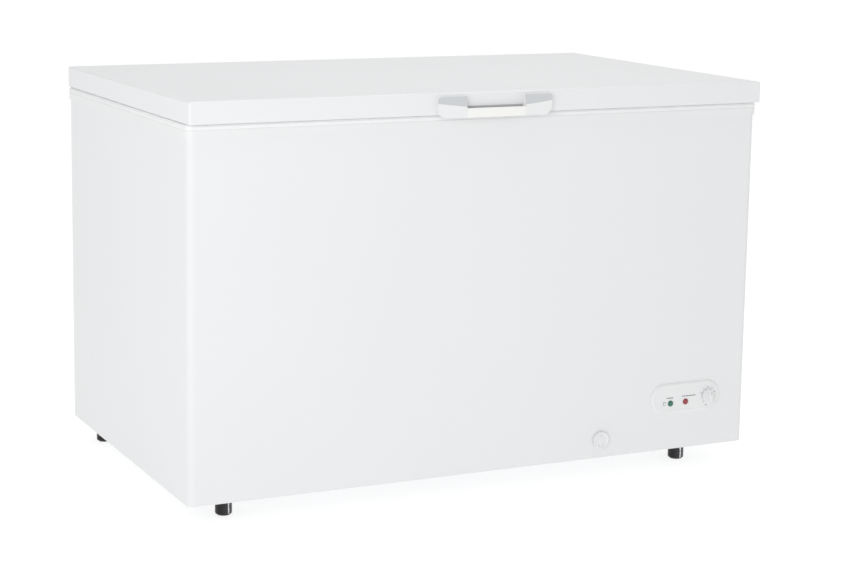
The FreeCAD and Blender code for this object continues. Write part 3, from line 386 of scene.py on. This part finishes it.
def bar(path, radius, normal, sides=8, closed=False):
    """A round bar along a flat path: a circle across the path's tangent at each point."""
    path = np.asarray(path, float)
    tangent = np.roll(path, -1, 0) - np.roll(path, 1, 0) if closed else np.gradient(path, axis=0)
    normal = np.broadcast_to(unit(np.asarray(normal, float)), path.shape)
    side = np.cross(unit(tangent), normal)
    angle = np.linspace(0, 2 * np.pi, sides, endpoint=False)[:, None]
    circle = np.cos(angle) * side[:, None] + np.sin(angle) * normal[:, None]
    return skin(path[:, None] + radius * circle, closed=closed, caps=not closed)


def block(loop, rows, axes):
    """A flat loop raised through rows of (inset, height): the loop shrinks towards its middle.

    axes says which of x, y and z the loop's two numbers and the height are.
    """
    loop = np.asarray(loop, float)
    middle = (loop.max(0) + loop.min(0)) / 2
    half = (loop.max(0) - loop.min(0)) / 2
    inset, height = np.asarray(rows, float).T
    scale = 1 - inset[:, None, None] / half
    flat = middle + (loop - middle) * scale
    points = np.empty((*flat.shape[:2], 3))
    points[..., axes[0]] = flat[..., 0]
    points[..., axes[1]] = flat[..., 1]
    points[..., axes[2]] = height[:, None]
    return skin(points, caps=True)


def make(name, body, slot, surfaces, stands_for=(), sharp=32.0, finish=None):
    """Joins surfaces into one closed piece in its place and lets it ride on a body."""
    points, faces, count = [], [], 0
    for some_points, some_faces in surfaces:
        points.append(some_points)
        faces += [[i + count for i in face] for face in some_faces]
        count += len(some_points)
    mesh = bpy.data.meshes.new(name)
    mesh.from_pydata((np.concatenate(points) * MM).tolist(), [], faces)
    work = bmesh.new()
    work.from_mesh(mesh)
    bmesh.ops.remove_doubles(work, verts=work.verts, dist=MERGE)
    bmesh.ops.dissolve_degenerate(work, edges=work.edges, dist=MERGE)
    bmesh.ops.recalc_face_normals(work, faces=work.faces)
    work.to_mesh(mesh)
    work.free()
    mesh.shade_smooth()
    mesh.set_sharp_from_angle(angle=math.radians(sharp))
    piece = bpy.data.objects.new(name, mesh)
    bpy.context.scene.collection.objects.link(piece)
    mesh.materials.append(FINISHES[finish or slot])
    normals = piece.modifiers.new("even_normals", "WEIGHTED_NORMAL")
    normals.keep_sharp = True
    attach(piece, body)
    if stands_for:
        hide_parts(*stands_for)
    return piece


# ------------------------------------------------------------------ lid
def lid_skin():
    """Folded steel pan: its profile goes from the slightly crowned top down the skirt and in
    along the hem, then back up inside at the sheet's thickness."""
    low, high = node_box("lid_skin")
    sheet, hem, crown, flat = 0.8, 12.0, 0.7, 70.0
    top, foot = high[2], low[2]
    corners = [(flat, top), (0, top - crown), (0, foot), (hem, foot), (hem, foot + sheet),
               (sheet, foot + sheet), (sheet, top - crown - sheet), (flat, top - sheet)]
    profile = soften(corners, (0, 4.5, 1.2, 0.35, 0.35, 0.4, 3.7, 0))
    plan = (low[0], high[0], low[1], high[1])
    make("lid_pan", "lid", "white_painted_steel", [skin(collar(plan, 5.5, profile), caps=True)],
         ["lid_skin"])


def lid_gasket():
    """Magnetic seal: an outer lip that hugs the rim's rounded edge, and a foot, carried round
    the lid."""
    low, high = node_box("lid_gasket")
    width, z = 20.0, low[2]
    outer = np.array([(-0.9, 0.1), (-2.1, -0.15), (-3.0, -0.75), (-3.4, -1.2), (-3.42, -0.3),
                      (-2.7, 4.0), (-0.4, 8.2), (3, 8.6), (3, high[2] - z)])
    inner = np.array([(3, high[2] - z), (3, 8.6), (1, 8.2), (0, 6.1), (0, 0.7), (0.4, 0)])
    inner = inner * (-1, 1) + (width, 0)
    radii = [0.1] * 5 + [0.35] * 10
    profile = soften(np.concatenate([outer, inner]), radii, 3) + (0, z)
    plan = (low[0], high[0], low[1], high[1])
    make("lid_seal", "lid", "grey_rubber", [skin(collar(plan, 9.0, profile), closed=True)],
         ["lid_gasket"])


def rib(x, y0, y1, z, width, depth):
    """A pressed stiffening rib: a half ellipse across, and a quarter sine at both ends."""
    u = np.linspace(-1, 1, 13)[:, None]
    v = np.linspace(-1, 1, 41)[None, :]
    end = np.sqrt(np.clip(1 - np.clip((np.abs(v) - 0.94) / 0.06, 0, 1) ** 2, 0, 1))
    across = x + u * width / 2 * end
    along = (y0 + y1) / 2 + v * (y1 - y0) / 2 + 0 * u
    down = z - depth * np.sqrt(np.clip(1 - u ** 2, 0, 1)) * end
    lower = np.stack([across, along, down], -1)
    upper = np.stack([across, along, np.full_like(down, z + 0.4)], -1)[::-1]
    return skin(np.concatenate([lower, upper]), around=False, closed=True)


def lid_liner():
    """Vacuum-formed inner panel: flange under the skin's hem, drafted plug and ribbed floor."""
    low, high = node_box("lid_liner")
    seat, wall = high[2] - 2.0, 2.0
    shell_low, shell_high = node_box("outer_shell")
    back = node_box("rear_panel")[1][1]
    cabinet = np.array((shell_low[0], shell_high[0], shell_low[1], back))
    flange = np.array((low[0], high[0], low[1], high[1]))
    inwards = np.array((1, -1, 1, -1))
    rows = [(flange, 0, seat, 8), (cabinet, 50, seat, 30), (cabinet, 53.5, seat - 0.8, 27),
            (cabinet, 55, seat - 3, 26), (cabinet, 57, low[2] + 5, 24),
            (cabinet, 58, low[2] + 1.6, 23), (cabinet, 60.5, low[2], 21), (cabinet, 96, low[2], 12)]
    middle = len(rows)
    rows += [(cabinet, 96, low[2] + wall, 12), (cabinet, 61, low[2] + wall, 21),
             (cabinet, 60, low[2] + 3, 22), (cabinet, 57, seat - 1, 25),
             (cabinet, 54, seat + wall, 27), (flange, 0, seat + wall, 8)]
    plans = np.array([plan + inset * inwards for plan, inset, _, _ in rows])
    loops = rounded_loop(*plans.T, np.array([float(row[3]) for row in rows]), 10)
    level = np.array([float(row[2]) for row in rows])[:, None, None]
    points = np.concatenate([loops, np.broadcast_to(level, (*loops.shape[:2], 1))], -1)
    under, over = skin(points[:middle]), skin(points[middle:])
    columns = points.shape[1]
    under[1].append(list(range((middle - 1) * columns, middle * columns)))
    over[1].append(list(range(columns)))
    rim = skin(np.stack([points[-1], points[0]]))
    places = np.linspace(cabinet[0] + 190, cabinet[1] - 190, 7)
    ribs = [rib(x, cabinet[2] + 125, cabinet[3] - 125, low[2] + 0.1, 26, 1.9) for x in places]
    make("lid_inner_panel", "lid", "white_plastic", [under, over, rim, *ribs], ["lid_liner"])


# ------------------------------------------------------------------ handle
END_REACH = 12.0          # how far the feet's outer ends stand off the lid
TOP_REACH = 10.0          # how far their top edges do
LOWER_ROUND = 19.0        # radius of the outer lower corner
UPPER_ROUND = 6.0         # radius of the outer upper corner
CAP_DROP = (13.0, 20.0)   # height of the grey cap at the outer end and at the grip
CAP_THICK = 1.6
CAP_GAP = 0.05            # hairline round the cap, where it is let into the foot


def quarter(radius, away):
    """Height of a quarter circle over its lowest point, at a distance from the outer end."""
    return radius - np.sqrt(radius ** 2 - np.clip(radius - away, 0, radius) ** 2)


def handle_section(side, x, low, high, cap):
    """Cross-sections of a handle foot, or of its cap, at each x, in the plane of y and z.

    The front's reach and the height of the cap's lower edge run straight from the outer end
    to the grip. At the outer end the top and the bottom follow quarter circles.
    """
    wall = node_box("lid_skin")[0][1]
    away = high[0] - x
    share = away / (high[0] - low[0])
    reach = END_REACH + share * (wall - low[1] - END_REACH)
    drop = CAP_DROP[0] + share * (CAP_DROP[1] - CAP_DROP[0])
    foot = high[2] - drop
    bottom = low[2] + quarter(LOWER_ROUND, away)
    top = high[2] - quarter(UPPER_ROUND, away)
    crest = TOP_REACH + (reach - TOP_REACH) / drop * (high[2] - top)
    if cap:
        corners = [(crest, top), (reach, foot), (reach - CAP_THICK, foot),
                   (crest - CAP_THICK, top)]
        radii = (0.5, 0.6, 0.3, 0.3)
    else:
        seat, ledge = CAP_THICK + CAP_GAP, foot - CAP_GAP
        corners = [(0 * x, top), (crest - seat, top), (reach - seat, ledge), (reach, ledge),
                   (reach, bottom), (0 * x, bottom)]
        radii = (0.2, 0.6, 0.1, 0.6, 2.2, 0.4)
    flat = np.stack([np.stack([wall - out, z + 0 * x], -1) for out, z in corners], 1)
    loop = soften(flat, radii, 4)
    across = np.broadcast_to((side * x)[:, None, None], (*loop.shape[:2], 1))
    return np.concatenate([across, loop], -1)


def eased_ends(points, ease):
    """Rounds both ends of a lofted block: the end rings shrink towards their middle on a
    quarter circle."""
    turn = np.radians([0, 30, 60])[:, None, None]
    rings = []
    for ring, step in ((points[0], 1), (points[-1], -1)):
        middle = (ring.max(0) + ring.min(0)) / 2
        half = np.maximum((ring.max(0) - ring.min(0)) / 2, 1e-6)
        shrink = 1 - ease * (1 - np.sin(turn)) / half
        shrink[..., 0] = 1
        moved = middle + (ring - middle) * shrink
        direction = np.sign(points[len(points) // 2, 0, 0] - ring[0, 0])
        moved[..., 0] = ring[0, 0] + direction * ease * (1 - np.cos(turn[..., 0]))
        rings.append(moved[::step])
    return np.concatenate([rings[0], points[1:-1], rings[1]])


def handle():
    """Bow handle: two splayed feet with grey caps let into their fronts, a straight grip
    between them, and a dark grey plate on the lid behind the grip: painted shade for the
    slit above the grip."""
    low, high = node_box("handle_end_right")
    turn = np.radians(np.linspace(0, 90, 12))
    x = np.concatenate([high[0] - LOWER_ROUND * (1 - np.cos(turn)),
                        np.linspace(high[0] - LOWER_ROUND - 5, low[0], 8)])
    caps = []
    for side, name in ((-1, "handle_end_left"), (1, "handle_end_right")):
        foot = handle_section(side, x, low, high, False)
        make(name.replace("end", "foot"), "lid", "white_plastic",
             [skin(eased_ends(foot, 0.7), caps=True)], [name], 40)
        cap = handle_section(side, x, low, high, True)
        caps.append(skin(eased_ends(cap, 0.4), caps=True))
    make("handle_cap_pair", "lid", "grey_plastic", caps, ["handle_caps"], 40)

    grip_low, grip_high = node_box("handle_grip")
    (x0, y0, z0), (x1, y1, z1) = grip_low, grip_high
    section = soften([(y0, z0), (y1, z0), (y1, z1), (y0, z1)], (2.8, 2.2, 2.2, 2.8), 7)
    middle, half = np.array(((y0 + y1) / 2, (z0 + z1) / 2)), (z1 - z0) / 2
    crown = 0.5 * ((section[:, 1] - middle[1]) / half) ** 2 * (section[:, 0] < middle[0] - 2)
    section[:, 0] += crown
    along = np.array([x0, x0 + 0.4, x0 + 1.2, *np.linspace(x0 + 8, x1 - 8, 9),
                      x1 - 1.2, x1 - 0.4, x1])
    shrink = np.ones(len(along))
    shrink[[0, -1]] = 0.93
    shrink[[1, -2]] = 0.98
    loop = middle + (section[None] - middle) * shrink[:, None, None]
    across = np.broadcast_to(along[:, None, None], (*loop.shape[:2], 1))
    make("handle_bar", "lid", "ivory_plastic",
         [skin(np.concatenate([across, loop], -1), caps=True)], ["handle_grip"])
    wall = node_box("lid_skin")[0][1]
    # Painted shade: this dark grey plate stands in for the shadow seen in the slit above the grip.
    plate = rounded_loop(x0, x1, z0 + 7.5, z1 + 3.4, 1.0, 4)
    make("handle_back_plate", "lid", "grey_plastic",
         [block(plate, [(0, wall), (0, wall - 0.9), (0.3, wall - 1.2)], (0, 2, 1))],
         finish="shadow_grey")


# ------------------------------------------------------------------ controls and drain
def control_panel():
    """Oval bezel: its edge is a quarter ellipse that swells into a slightly sunken face."""
    low, high = node_box("control_panel")
    base, front = node_box("outer_shell")[0][1] - 0.05, low[1]
    edge = (high[2] - low[2]) / 2 - 0.5
    rise = base - front
    turn = np.radians(np.linspace(0, 90, 8))
    rows = [(6.5 * (1 - np.cos(a)), base - rise * np.sin(a)) for a in turn]
    rows += [(8.0, front), (9.0, front + 0.2), (9.8, front + 0.6), (10.6, front + 0.7)]
    inset, height = np.array(rows).T
    loop = rounded_loop(low[0] + inset, high[0] - inset, low[2] + inset, high[2] - inset,
                        edge - inset, 18)
    points = np.stack([loop[..., 0], np.broadcast_to(height[:, None], loop.shape[:2]),
                       loop[..., 1]], -1)
    make("control_bezel", "cabinet", "white_plastic", [skin(points, caps=True)],
         ["control_panel"])
    return front + 0.7


def print_mark(x, z, width, height, face, tilt=0.0):
    """One flat printed mark with round corners, centred on (x, z)."""
    radius = min(width, height) * 0.3
    loop = rounded_loop(-width / 2, width / 2, -height / 2, height / 2, radius, 4)
    c, s = math.cos(tilt), math.sin(tilt)
    loop = loop @ np.array([[c, s], [-s, c]]) + (x, z)
    return block(loop, [(0, face + 0.02), (0, face - 0.1)], (0, 2, 1))


def panel_print(face):
    """Plain marks in place of words: a bar over each lamp, a plug sign, and the dial's scale."""
    lamps = {n: np.mean(node_box(n), 0) for n in ("power_lamp", "fault_lamp")}
    knob = np.mean(node_box("thermostat_knob"), 0)
    green, red = lamps["power_lamp"], lamps["fault_lamp"]
    marks = []
    for step in range(4):
        marks.append(print_mark(green[0] - 8.5 + 4.2 * step, green[2] + 12.2, 3.0, 2.4, face))
    for step in range(8):
        marks.append(print_mark(red[0] - 7.5 + 4.4 * step, red[2] + 12.4, 3.2, 2.2, face))
    sign_x, sign_z = green[0] - 15.5, green[2] + 0.5
    for dx, dz, w, h in ((0, 3.2, 6.0, 0.8), (0, -3.2, 6.0, 0.8), (-2.6, 0, 0.8, 6.4),
                         (2.6, 1.6, 0.8, 3.2)):
        marks.append(print_mark(sign_x + dx, sign_z + dz, w, h, face))
    radius = 18.4
    for step in range(9):
        turn = math.radians(-140 + 35 * step)
        size = 2.6 if step % 2 == 0 else 1.5
        x, z = knob[0] + radius * math.sin(turn), knob[2] + radius * math.cos(turn)
        marks.append(print_mark(x, z, 1.1, size, face, -turn))
    marks.append(print_mark(knob[0] - 4, knob[2] - 21.5, 6.0, 1.0, face))
    make("panel_print", "cabinet", "black_plastic", marks, finish="print")


def pilot_lamp(name, slot):
    """Lamp: domed lens in a narrow bezel ring, on its round body with two terminals."""
    low, high = node_box(name)
    x, z = (low[0] + high[0]) / 2, (low[2] + high[2]) / 2
    radius, face = (high[0] - low[0]) / 2, low[1]
    dome = [(0, 0), (1.6, 0.03), (3.1, 0.18), (4.4, 0.5), (5.2, 0.9), (5.5, 1.35), (5.7, 1.5),
            (6.1, 1.25), (radius, 1.6), (radius, 3.1), (radius - 1.2, 3.2), (radius - 1.2, 25.5),
            (0, 25.5)]
    surfaces = [skin(turned(dome, (x, face, z), (0, 1, 0), 40))]
    for dx in (-2.6, 2.6):
        tab = rounded_loop(x + dx - 0.4, x + dx + 0.4, z - 2.4, z + 2.4, 0.3, 3)
        surfaces.append(block(tab, [(0, face + 25), (0, high[1] - 0.4), (0.25, high[1])],
                              (0, 2, 1)))
    make(name + "_lens", "cabinet", slot, surfaces, [name], 50)


def thermostat_knob():
    """Knob: a finely fluted skirt whose radius ripples with the angle, a dished face, and a
    ridge grip that is a superellipse in plan and narrows towards its crest."""
    low, high = node_box("thermostat_knob")
    x, z = (low[0] + high[0]) / 2, (low[2] + high[2]) / 2
    back, radius = high[1], (high[0] - low[0]) / 2
    rows = [(0, 0), (radius - 1, 0), (radius, 0.7), (radius, 3.6), (radius - 0.5, 4.5),
            (radius - 1.5, 4.9), (radius - 3.2, 4.6), (radius - 5, 4.3), (0, 4.2)]
    points = turned(rows, (x, back, z), (0, -1, 0), 144)
    angle = np.linspace(0, 2 * np.pi, 144, endpoint=False)
    flute = 1 - 0.022 * (0.5 - 0.5 * np.cos(36 * angle))
    middle = np.array((x, back, z))
    outward = (points - middle) * (1, 0, 1)
    share = np.zeros(len(rows))
    share[[2, 3]] = 1.0
    share[4] = 0.5
    points += outward * (share[:, None] * (flute - 1))[..., None]
    t = np.linspace(0, 2 * np.pi, 64, endpoint=False)
    loop = np.stack([4.3 * np.sign(np.cos(t)) * np.abs(np.cos(t)) ** 0.6,
                     13.1 * np.sign(np.sin(t)) * np.abs(np.sin(t)) ** 0.8], -1) + (x, z)
    crest = back - low[1]
    levels = [(-0.3, 4.0), (0.0, 4.6), (0.15, 6.0), (0.4, crest - 1.6), (0.7, crest - 0.7),
              (1.2, crest - 0.2), (2.0, crest)]
    ridge = block(loop, [(inset, back - height) for inset, height in levels], (0, 2, 1))
    make("thermostat_dial", "thermostat_dial", "white_plastic", [skin(points), ridge],
         ["thermostat_knob"])
    line = rounded_loop(x - 0.6, x + 0.6, z + 4, z + 10.2, 0.5, 4)
    pointer = block(line, [(0, back - crest + 0.4), (0, back - crest - 0.04)], (0, 2, 1))
    make("thermostat_pointer", "thermostat_dial", "black_plastic", [pointer], finish="print")


def drain_dial():
    """Outlet dial: rolled rim, sunken face with a finger bar and an arrow, and the long hollow
    hub that turns in the spout."""
    low, high = node_box("drain_dial")
    x, z = (low[0] + high[0]) / 2, (low[2] + high[2]) / 2
    front, radius = low[1], (high[0] - low[0]) / 2
    face = [(0, 2.1), (13.6, 2.1), (14.7, 1.7), (15.2, 0.7), (15.9, 0.12), (16.8, 0),
            (17.9, 0.35), (18.6, 1.2), (radius, 2.4), (radius, 4.6), (radius - 0.6, 5.1), (0, 5.1)]
    surfaces = [skin(turned(face, (x, front, z), (0, 1, 0), 72))]
    finger = rounded_loop(x - 2.3, x + 2.3, z - 14.6, z + 5.6, 2.2, 6)
    surfaces.append(block(finger, [(-0.3, front + 2.3), (0, front + 1.6), (0.3, front + 0.6),
                                   (0.9, front + 0.2), (1.6, front + 0.1)], (0, 2, 1)))
    arrow = soften([(x - 6.2, z + 4.6), (x + 6.2, z + 4.6), (x, z + 13.2)], 0.7, 4)
    surfaces.append(block(arrow, [(0, front + 2.3), (0, front + 1.0), (0.5, front + 0.5),
                                  (1.1, front + 0.4)], (0, 2, 1)))
    length = high[1] - front
    hub = [(10.0, 4.9), (10.0, length - 0.5), (9.6, length), (7.9, length), (7.6, length - 0.4),
           (7.6, 4.9)]
    surfaces.append(skin(turned(hub, (x, front, z), (0, 1, 0), 40), closed=True))
    make("drain_cap", "drain_selector", "white_plastic", surfaces, ["drain_dial"], 45)


# ------------------------------------------------------------------ feet
def foot_screw(place):
    """Levelling foot: glossy barrel with an eased lower edge and a shallow waist ring, on a
    stud whose radius follows a saw tooth of height and angle, one pitch a turn."""
    name = "foot_screw_" + place
    low, high = node_box(name)
    x, y = (low[0] + high[0]) / 2, (low[1] + high[1]) / 2
    radius = (high[0] - low[0]) / 2
    floor, top = low[2], node_box("outer_shell")[0][2] - 0.3
    barrel = [(13.3, floor + 0.9), (13.3, floor + 0.1), (13.8, floor), (radius - 2.6, floor),
              (radius - 1.2, floor + 0.45), (radius - 0.35, floor + 1.4), (radius, floor + 2.9),
              (radius, top - 4.4), (radius - 0.45, top - 4.0), (radius - 0.45, top - 3.2),
              (radius, top - 2.8), (radius, top - 0.7), (radius - 0.25, top - 0.2),
              (radius - 0.9, top), (5.0, top)]
    bore = [(5.0, top - 2), (6.1, floor + 8.4), (6.1, floor + 1.2)]
    shell = skin(turned(barrel + bore, (x, y, 0), (0, 0, 1), 72), closed=True)
    pitch, columns, rows = 1.5, 20, 5
    start, end = top - 1.0, high[2]
    count = int((end - start) / pitch * rows)
    height = np.linspace(start, end, count)[:, None]
    angle = np.linspace(0, 2 * np.pi, columns, endpoint=False)[None]
    tooth = np.abs((height / pitch - angle / (2 * np.pi)) % 1.0 - 0.5) * 2
    fade = np.clip((end - height) / 3.0, 0.5, 1)
    reach = (4.98 - 0.78 * tooth) * fade ** 0.5
    stud = np.stack([x + reach * np.cos(angle), y + reach * np.sin(angle),
                     height + 0 * angle], -1)
    make("levelling_stud_" + place, "screw_" + place, "zinc_steel", [skin(stud, caps=True)],
         (), 60)
    return make("levelling_foot_" + place, "screw_" + place, "black_plastic", [shell],
                [name], 40)


# ------------------------------------------------------------------ basket
def basket():
    """Welded wire basket: a heavy rim, hoops, and U wires both ways, with two slip-on grips."""
    low, high = node_box("wire_basket")
    (x0, y0, _), (x1, y1, z1) = low, high
    body_in, rim_r, wire_r = 23.0, 3.0, 1.5
    top, floor = z1 - rim_r, low[2] + 2 * wire_r
    rim = rounded_loop(x0 + rim_r, x1 - rim_r, y0 + rim_r, y1 - rim_r, 14.0, 8)
    surfaces = [bar(np.c_[rim, np.full(len(rim), top)], rim_r, (0, 0, 1), 12, True)]
    bx0, bx1 = x0 + wire_r * 3, x1 - wire_r * 3
    by0, by1 = y0 + body_in + wire_r, y1 - body_in - wire_r
    for z in np.linspace(floor + 22, top - 26, 4):
        hoop = rounded_loop(bx0, bx1, by0, by1, 17.0, 6)
        surfaces.append(bar(np.c_[hoop, np.full(len(hoop), z)], wire_r + 0.3, (0, 0, 1), 8, True))
    out = wire_r * 2
    for x in np.linspace(bx0 + 24, bx1 - 24, 8):
        down = u_wire(by0 + out, by1 - out, floor, top - 12)
        ends = [(y0 + rim_r, top - 1.5), (by0 + out - 9, top - 1.5)]
        turn_in = [(by0 + out - 3, top - 4)]
        mirrored = [(by0 + by1 - y, z) for y, z in (turn_in + ends[::-1])]
        route = np.concatenate([ends, turn_in, down, mirrored])
        surfaces.append(bar(np.c_[np.full(len(route), x), route], wire_r, (1, 0, 0), 8))
    for y in np.linspace(by0 + 26, by1 - 26, 20):
        route = u_wire(bx0 + out, bx1 - out, floor + out, top)
        surfaces.append(bar(np.c_[route[:, 0], np.full(len(route), y), route[:, 1]], wire_r,
                            (0, 1, 0), 8))
    make("basket_wires", "basket", "basket_wire", surfaces, ["wire_basket"], 50)
    middle = (y0 + y1) / 2
    grips = []
    for x in (x0 + rim_r, x1 - rim_r):
        profile = [(rim_r, -46), (4.2, -46), (4.9, -45), (5.1, -43), (4.7, -30), (4.5, 0),
                   (4.7, 30), (5.1, 43), (4.9, 45), (4.2, 46), (rim_r, 46)]
        inner = -1.9 if x < (x0 + x1) / 2 else 1.9
        grips.append(skin(turned(profile, (x - inner, middle, top - 1.4), (0, 1, 0), 28),
                          closed=True))
    make("basket_grips", "basket", "white_plastic", grips)


def u_wire(x0, x1, floor, top):
    """Flat route of a U wire: down one side, across the floor and up the other side."""
    turn = np.radians(np.linspace(0, 90, 7))
    radius = 15.0
    left = np.c_[x0 + radius * (1 - np.cos(turn)), floor + radius * (1 - np.sin(turn))]
    right = np.c_[x1 - radius * (1 - np.sin(turn)), floor + radius * (1 - np.cos(turn))]
    return np.concatenate([[(x0, top)], left, right, [(x1, top)]])


# ------------------------------------------------------------------ fasteners
def screw(seat, axis, radius, height, shank, length):
    """Pan-head screw: a domed head with a cross recess, whose edge is the outline of a plus
    sign in polar form, and a plain shank."""
    columns = 48
    axis = unit(np.asarray(axis, float))
    side = unit(np.cross(axis, (0, 0, 1) if abs(axis[2]) < 0.9 else (1, 0, 0)))
    angle = np.linspace(0, 2 * np.pi, columns, endpoint=False)
    near = np.abs((angle + np.pi / 4) % (np.pi / 2) - np.pi / 4)
    arm, width = radius * 0.52, radius * 0.13
    plus = np.where(np.tan(near) < width / arm, arm / np.cos(near),
                    width / np.maximum(np.sin(near), 0.1))
    whole = np.ones(columns)
    rings = [(shank * whole, -length), (shank * whole, 0), (radius * whole, 0),
             (radius * whole, height * 0.45), (radius * 0.93 * whole, height * 0.75),
             (radius * 0.78 * whole, height * 0.94), (radius * 0.6 * whole, height), (plus, height),
             (plus * 0.8, height * 0.45), (0 * whole, height * 0.35)]
    reach = np.array([r for r, _ in rings])[..., None]
    out = -np.array([h for _, h in rings])[:, None, None] * axis
    spoke = np.cos(angle)[:, None] * side + np.sin(angle)[:, None] * np.cross(axis, side)
    points = np.asarray(seat, float) + out + reach * spoke
    surface = skin(points)
    surface[1].append(list(range(columns)))
    return surface


def cover_screws():
    """Screws of the rear cover and of the side grille."""
    (x0, _, z0), (x1, back, z1) = node_box("rear_cover")
    (_, y0, gz0), (side, y1, gz1) = node_box("side_grille")
    surfaces = []
    for x in (x0 + 6, x1 - 6):
        for z in (z0 + 6, (z0 + z1) / 2, z1 - 6):
            surfaces.append(screw((x, back + 0.05, z), (0, -1, 0), 3.6, 2.2, 1.7, 1.9))
    for y in (y0 + 9, y1 - 9):
        for z in (gz0 + 9, gz1 - 9):
            surfaces.append(screw((side, y, z), (-1, 0, 0), 3.4, 0.9, 1.6, 3.0))
    make("sheet_screws", "cabinet", "zinc_steel", surfaces, ["cover_screws"], 38)


def hinge_fasteners():
    """Screws that hold the hinge bases to the back and the hinge leaves to the lid."""
    fixed, lidded = [], []
    for side in ("left", "right"):
        low, high = node_box("hinge_base_" + side)
        arm_low, arm_high = node_box("hinge_arm_" + side)
        x = (low[0] + high[0]) / 2
        seat = low[1] + 2.45
        leaf = arm_low[1] + 2.45
        for dx in (-9, 9):
            for z in (low[2] + 6.5, low[2] + 128):
                fixed.append(screw((x + dx, seat, z), (0, -1, 0), 4.5, 2.6, 2.4, 14))
            for z in (arm_high[2] - 24.5, arm_high[2] - 10.5):
                lidded.append(screw((x + 2.4 * dx, leaf, z), (0, -1, 0), 4.2, 2.4, 2.2, 12))
    make("hinge_base_screws", "cabinet", "zinc_steel", fixed, ["hinge_screws"], 38)
    make("hinge_leaf_screws", "lid", "zinc_steel", lidded, ["lid_screws"], 38)


# ------------------------------------------------------------------ stage
def floor():
    """Pale seamless floor."""
    half = 14.0
    mesh = bpy.data.meshes.new("floor")
    mesh.from_pydata([(-half, -half, 0), (half, -half, 0), (half, half, 0), (-half, half, 0)],
                     [], [(0, 1, 2, 3)])
    ground = bpy.data.objects.new("floor", mesh)
    bpy.context.scene.collection.objects.link(ground)
    f = Finish("floor", Specular_IOR_Level=0.0, Emission_Strength=0.78,
               Emission_Color=(1.0, 1.0, 1.0, 1.0))
    f.vary(Base_Color=f.blend(f.noise(0.8), (0.36, 0.36, 0.36), (0.37, 0.37, 0.37)),
           Roughness=0.9 + 0.05 * f.noise(3.0))
    mesh.materials.append(f.material)


def area_light(name, place, target, size, power):
    """Rectangular soft light at a place, facing a target."""
    light = bpy.data.lights.new(name, "AREA")
    light.shape = "RECTANGLE"
    light.size, light.size_y = size
    light.energy = power
    lamp = bpy.data.objects.new(name, light)
    back = unit(np.array(place, float) - target)
    right = unit(np.cross((0.0, 0.0, 1.0), back))
    lamp.matrix_world = upright(right, np.cross(back, right), back, place)
    bpy.context.scene.collection.objects.link(lamp)
    return lamp


def upright(right, up, back, place):
    """Matrix of an object that looks along minus back."""
    rotation = Matrix((right, up, back)).transposed().to_4x4()
    return Matrix.Translation([float(v) for v in place]) @ rotation


def surroundings(horizon, sky):
    """White studio whose glow falls from the horizon to the sky above."""
    world = bpy.data.worlds.new("studio")
    world.use_nodes = True
    nodes, links = world.node_tree.nodes, world.node_tree.links
    place = nodes.new("ShaderNodeTexCoord")
    height = nodes.new("ShaderNodeSeparateXYZ")
    fall = nodes.new("ShaderNodeMapRange")
    for socket, value in (("From Min", 0.06), ("From Max", 0.3), ("To Min", horizon),
                          ("To Max", sky)):
        fall.inputs[socket].default_value = value
    links.new(place.outputs["Generated"], height.inputs[0])
    links.new(height.outputs["Z"], fall.inputs["Value"])
    links.new(fall.outputs[0], nodes["Background"].inputs["Strength"])
    nodes["Background"].inputs["Color"].default_value = (1, 1, 1, 1)
    bpy.context.scene.world = world


def lights():
    """Pale surroundings, a soft window at the front left and a softbox over the lid."""
    surroundings(1.05, 0.62)
    area_light("window", (-2.4, -2.6, 1.4), (-0.3, -0.2, 0.5), (1.6, 1.4), 27)
    area_light("softbox", (0.2, -0.1, 3.2), (0.0, 0.0, 0.85), (2.4, 2.4), 29)


def foot_light(feet):
    """Broad low light at the front right for the glossy feet alone; only they catch it and
    only they cast its shadow."""
    lamp = area_light("foot_strip", (2.9, -3.0, -0.9), (0.0, -0.2, 0.03), (0.8, 1.5), 800)
    lamp.visible_camera = False
    glossy = bpy.data.collections.new("glossy_feet")
    for piece in feet:
        glossy.objects.link(piece)
    lamp.light_linking.receiver_collection = glossy
    lamp.light_linking.blocker_collection = glossy


def camera():
    """Long lens from the front left, a little above the lid."""
    yaw, pitch, roll = np.radians((24.985, 9.337, 0.679))
    forward = np.array((math.sin(yaw) * math.cos(pitch), math.cos(yaw) * math.cos(pitch),
                        -math.sin(pitch)))
    level = np.array((math.cos(yaw), -math.sin(yaw), 0.0))
    above = np.cross(level, forward)
    right = math.cos(roll) * level + math.sin(roll) * above
    up = math.cos(roll) * above - math.sin(roll) * level
    lens = bpy.data.cameras.new("camera")
    lens.sensor_width = 36.0
    lens.lens = 86.75
    lens.shift_x = 0.06
    lens.shift_y = -0.075
    lens.clip_end = 60.0
    eye = bpy.data.objects.new("camera", lens)
    eye.matrix_world = upright(right, up, -forward, (-1.9593, -4.0385, 1.2624))
    bpy.context.scene.collection.objects.link(eye)
    bpy.context.scene.camera = eye
    bpy.context.scene.view_settings.view_transform = "Standard"


def clear_default_scene():
    for name in ("Cube", "Light", "Camera"):
        if name in bpy.data.objects:
            bpy.data.objects.remove(bpy.data.objects[name])


clear_default_scene()
camera()
lights()
floor()
finish_frame_nodes()
lid_skin()
lid_gasket()
lid_liner()
handle()
panel_print(control_panel())
pilot_lamp("power_lamp", "green_lens")
pilot_lamp("fault_lamp", "red_lens")
thermostat_knob()
drain_dial()
foot_light([foot_screw(foot) for foot in FEET])
basket()
cover_screws()
hinge_fasteners()
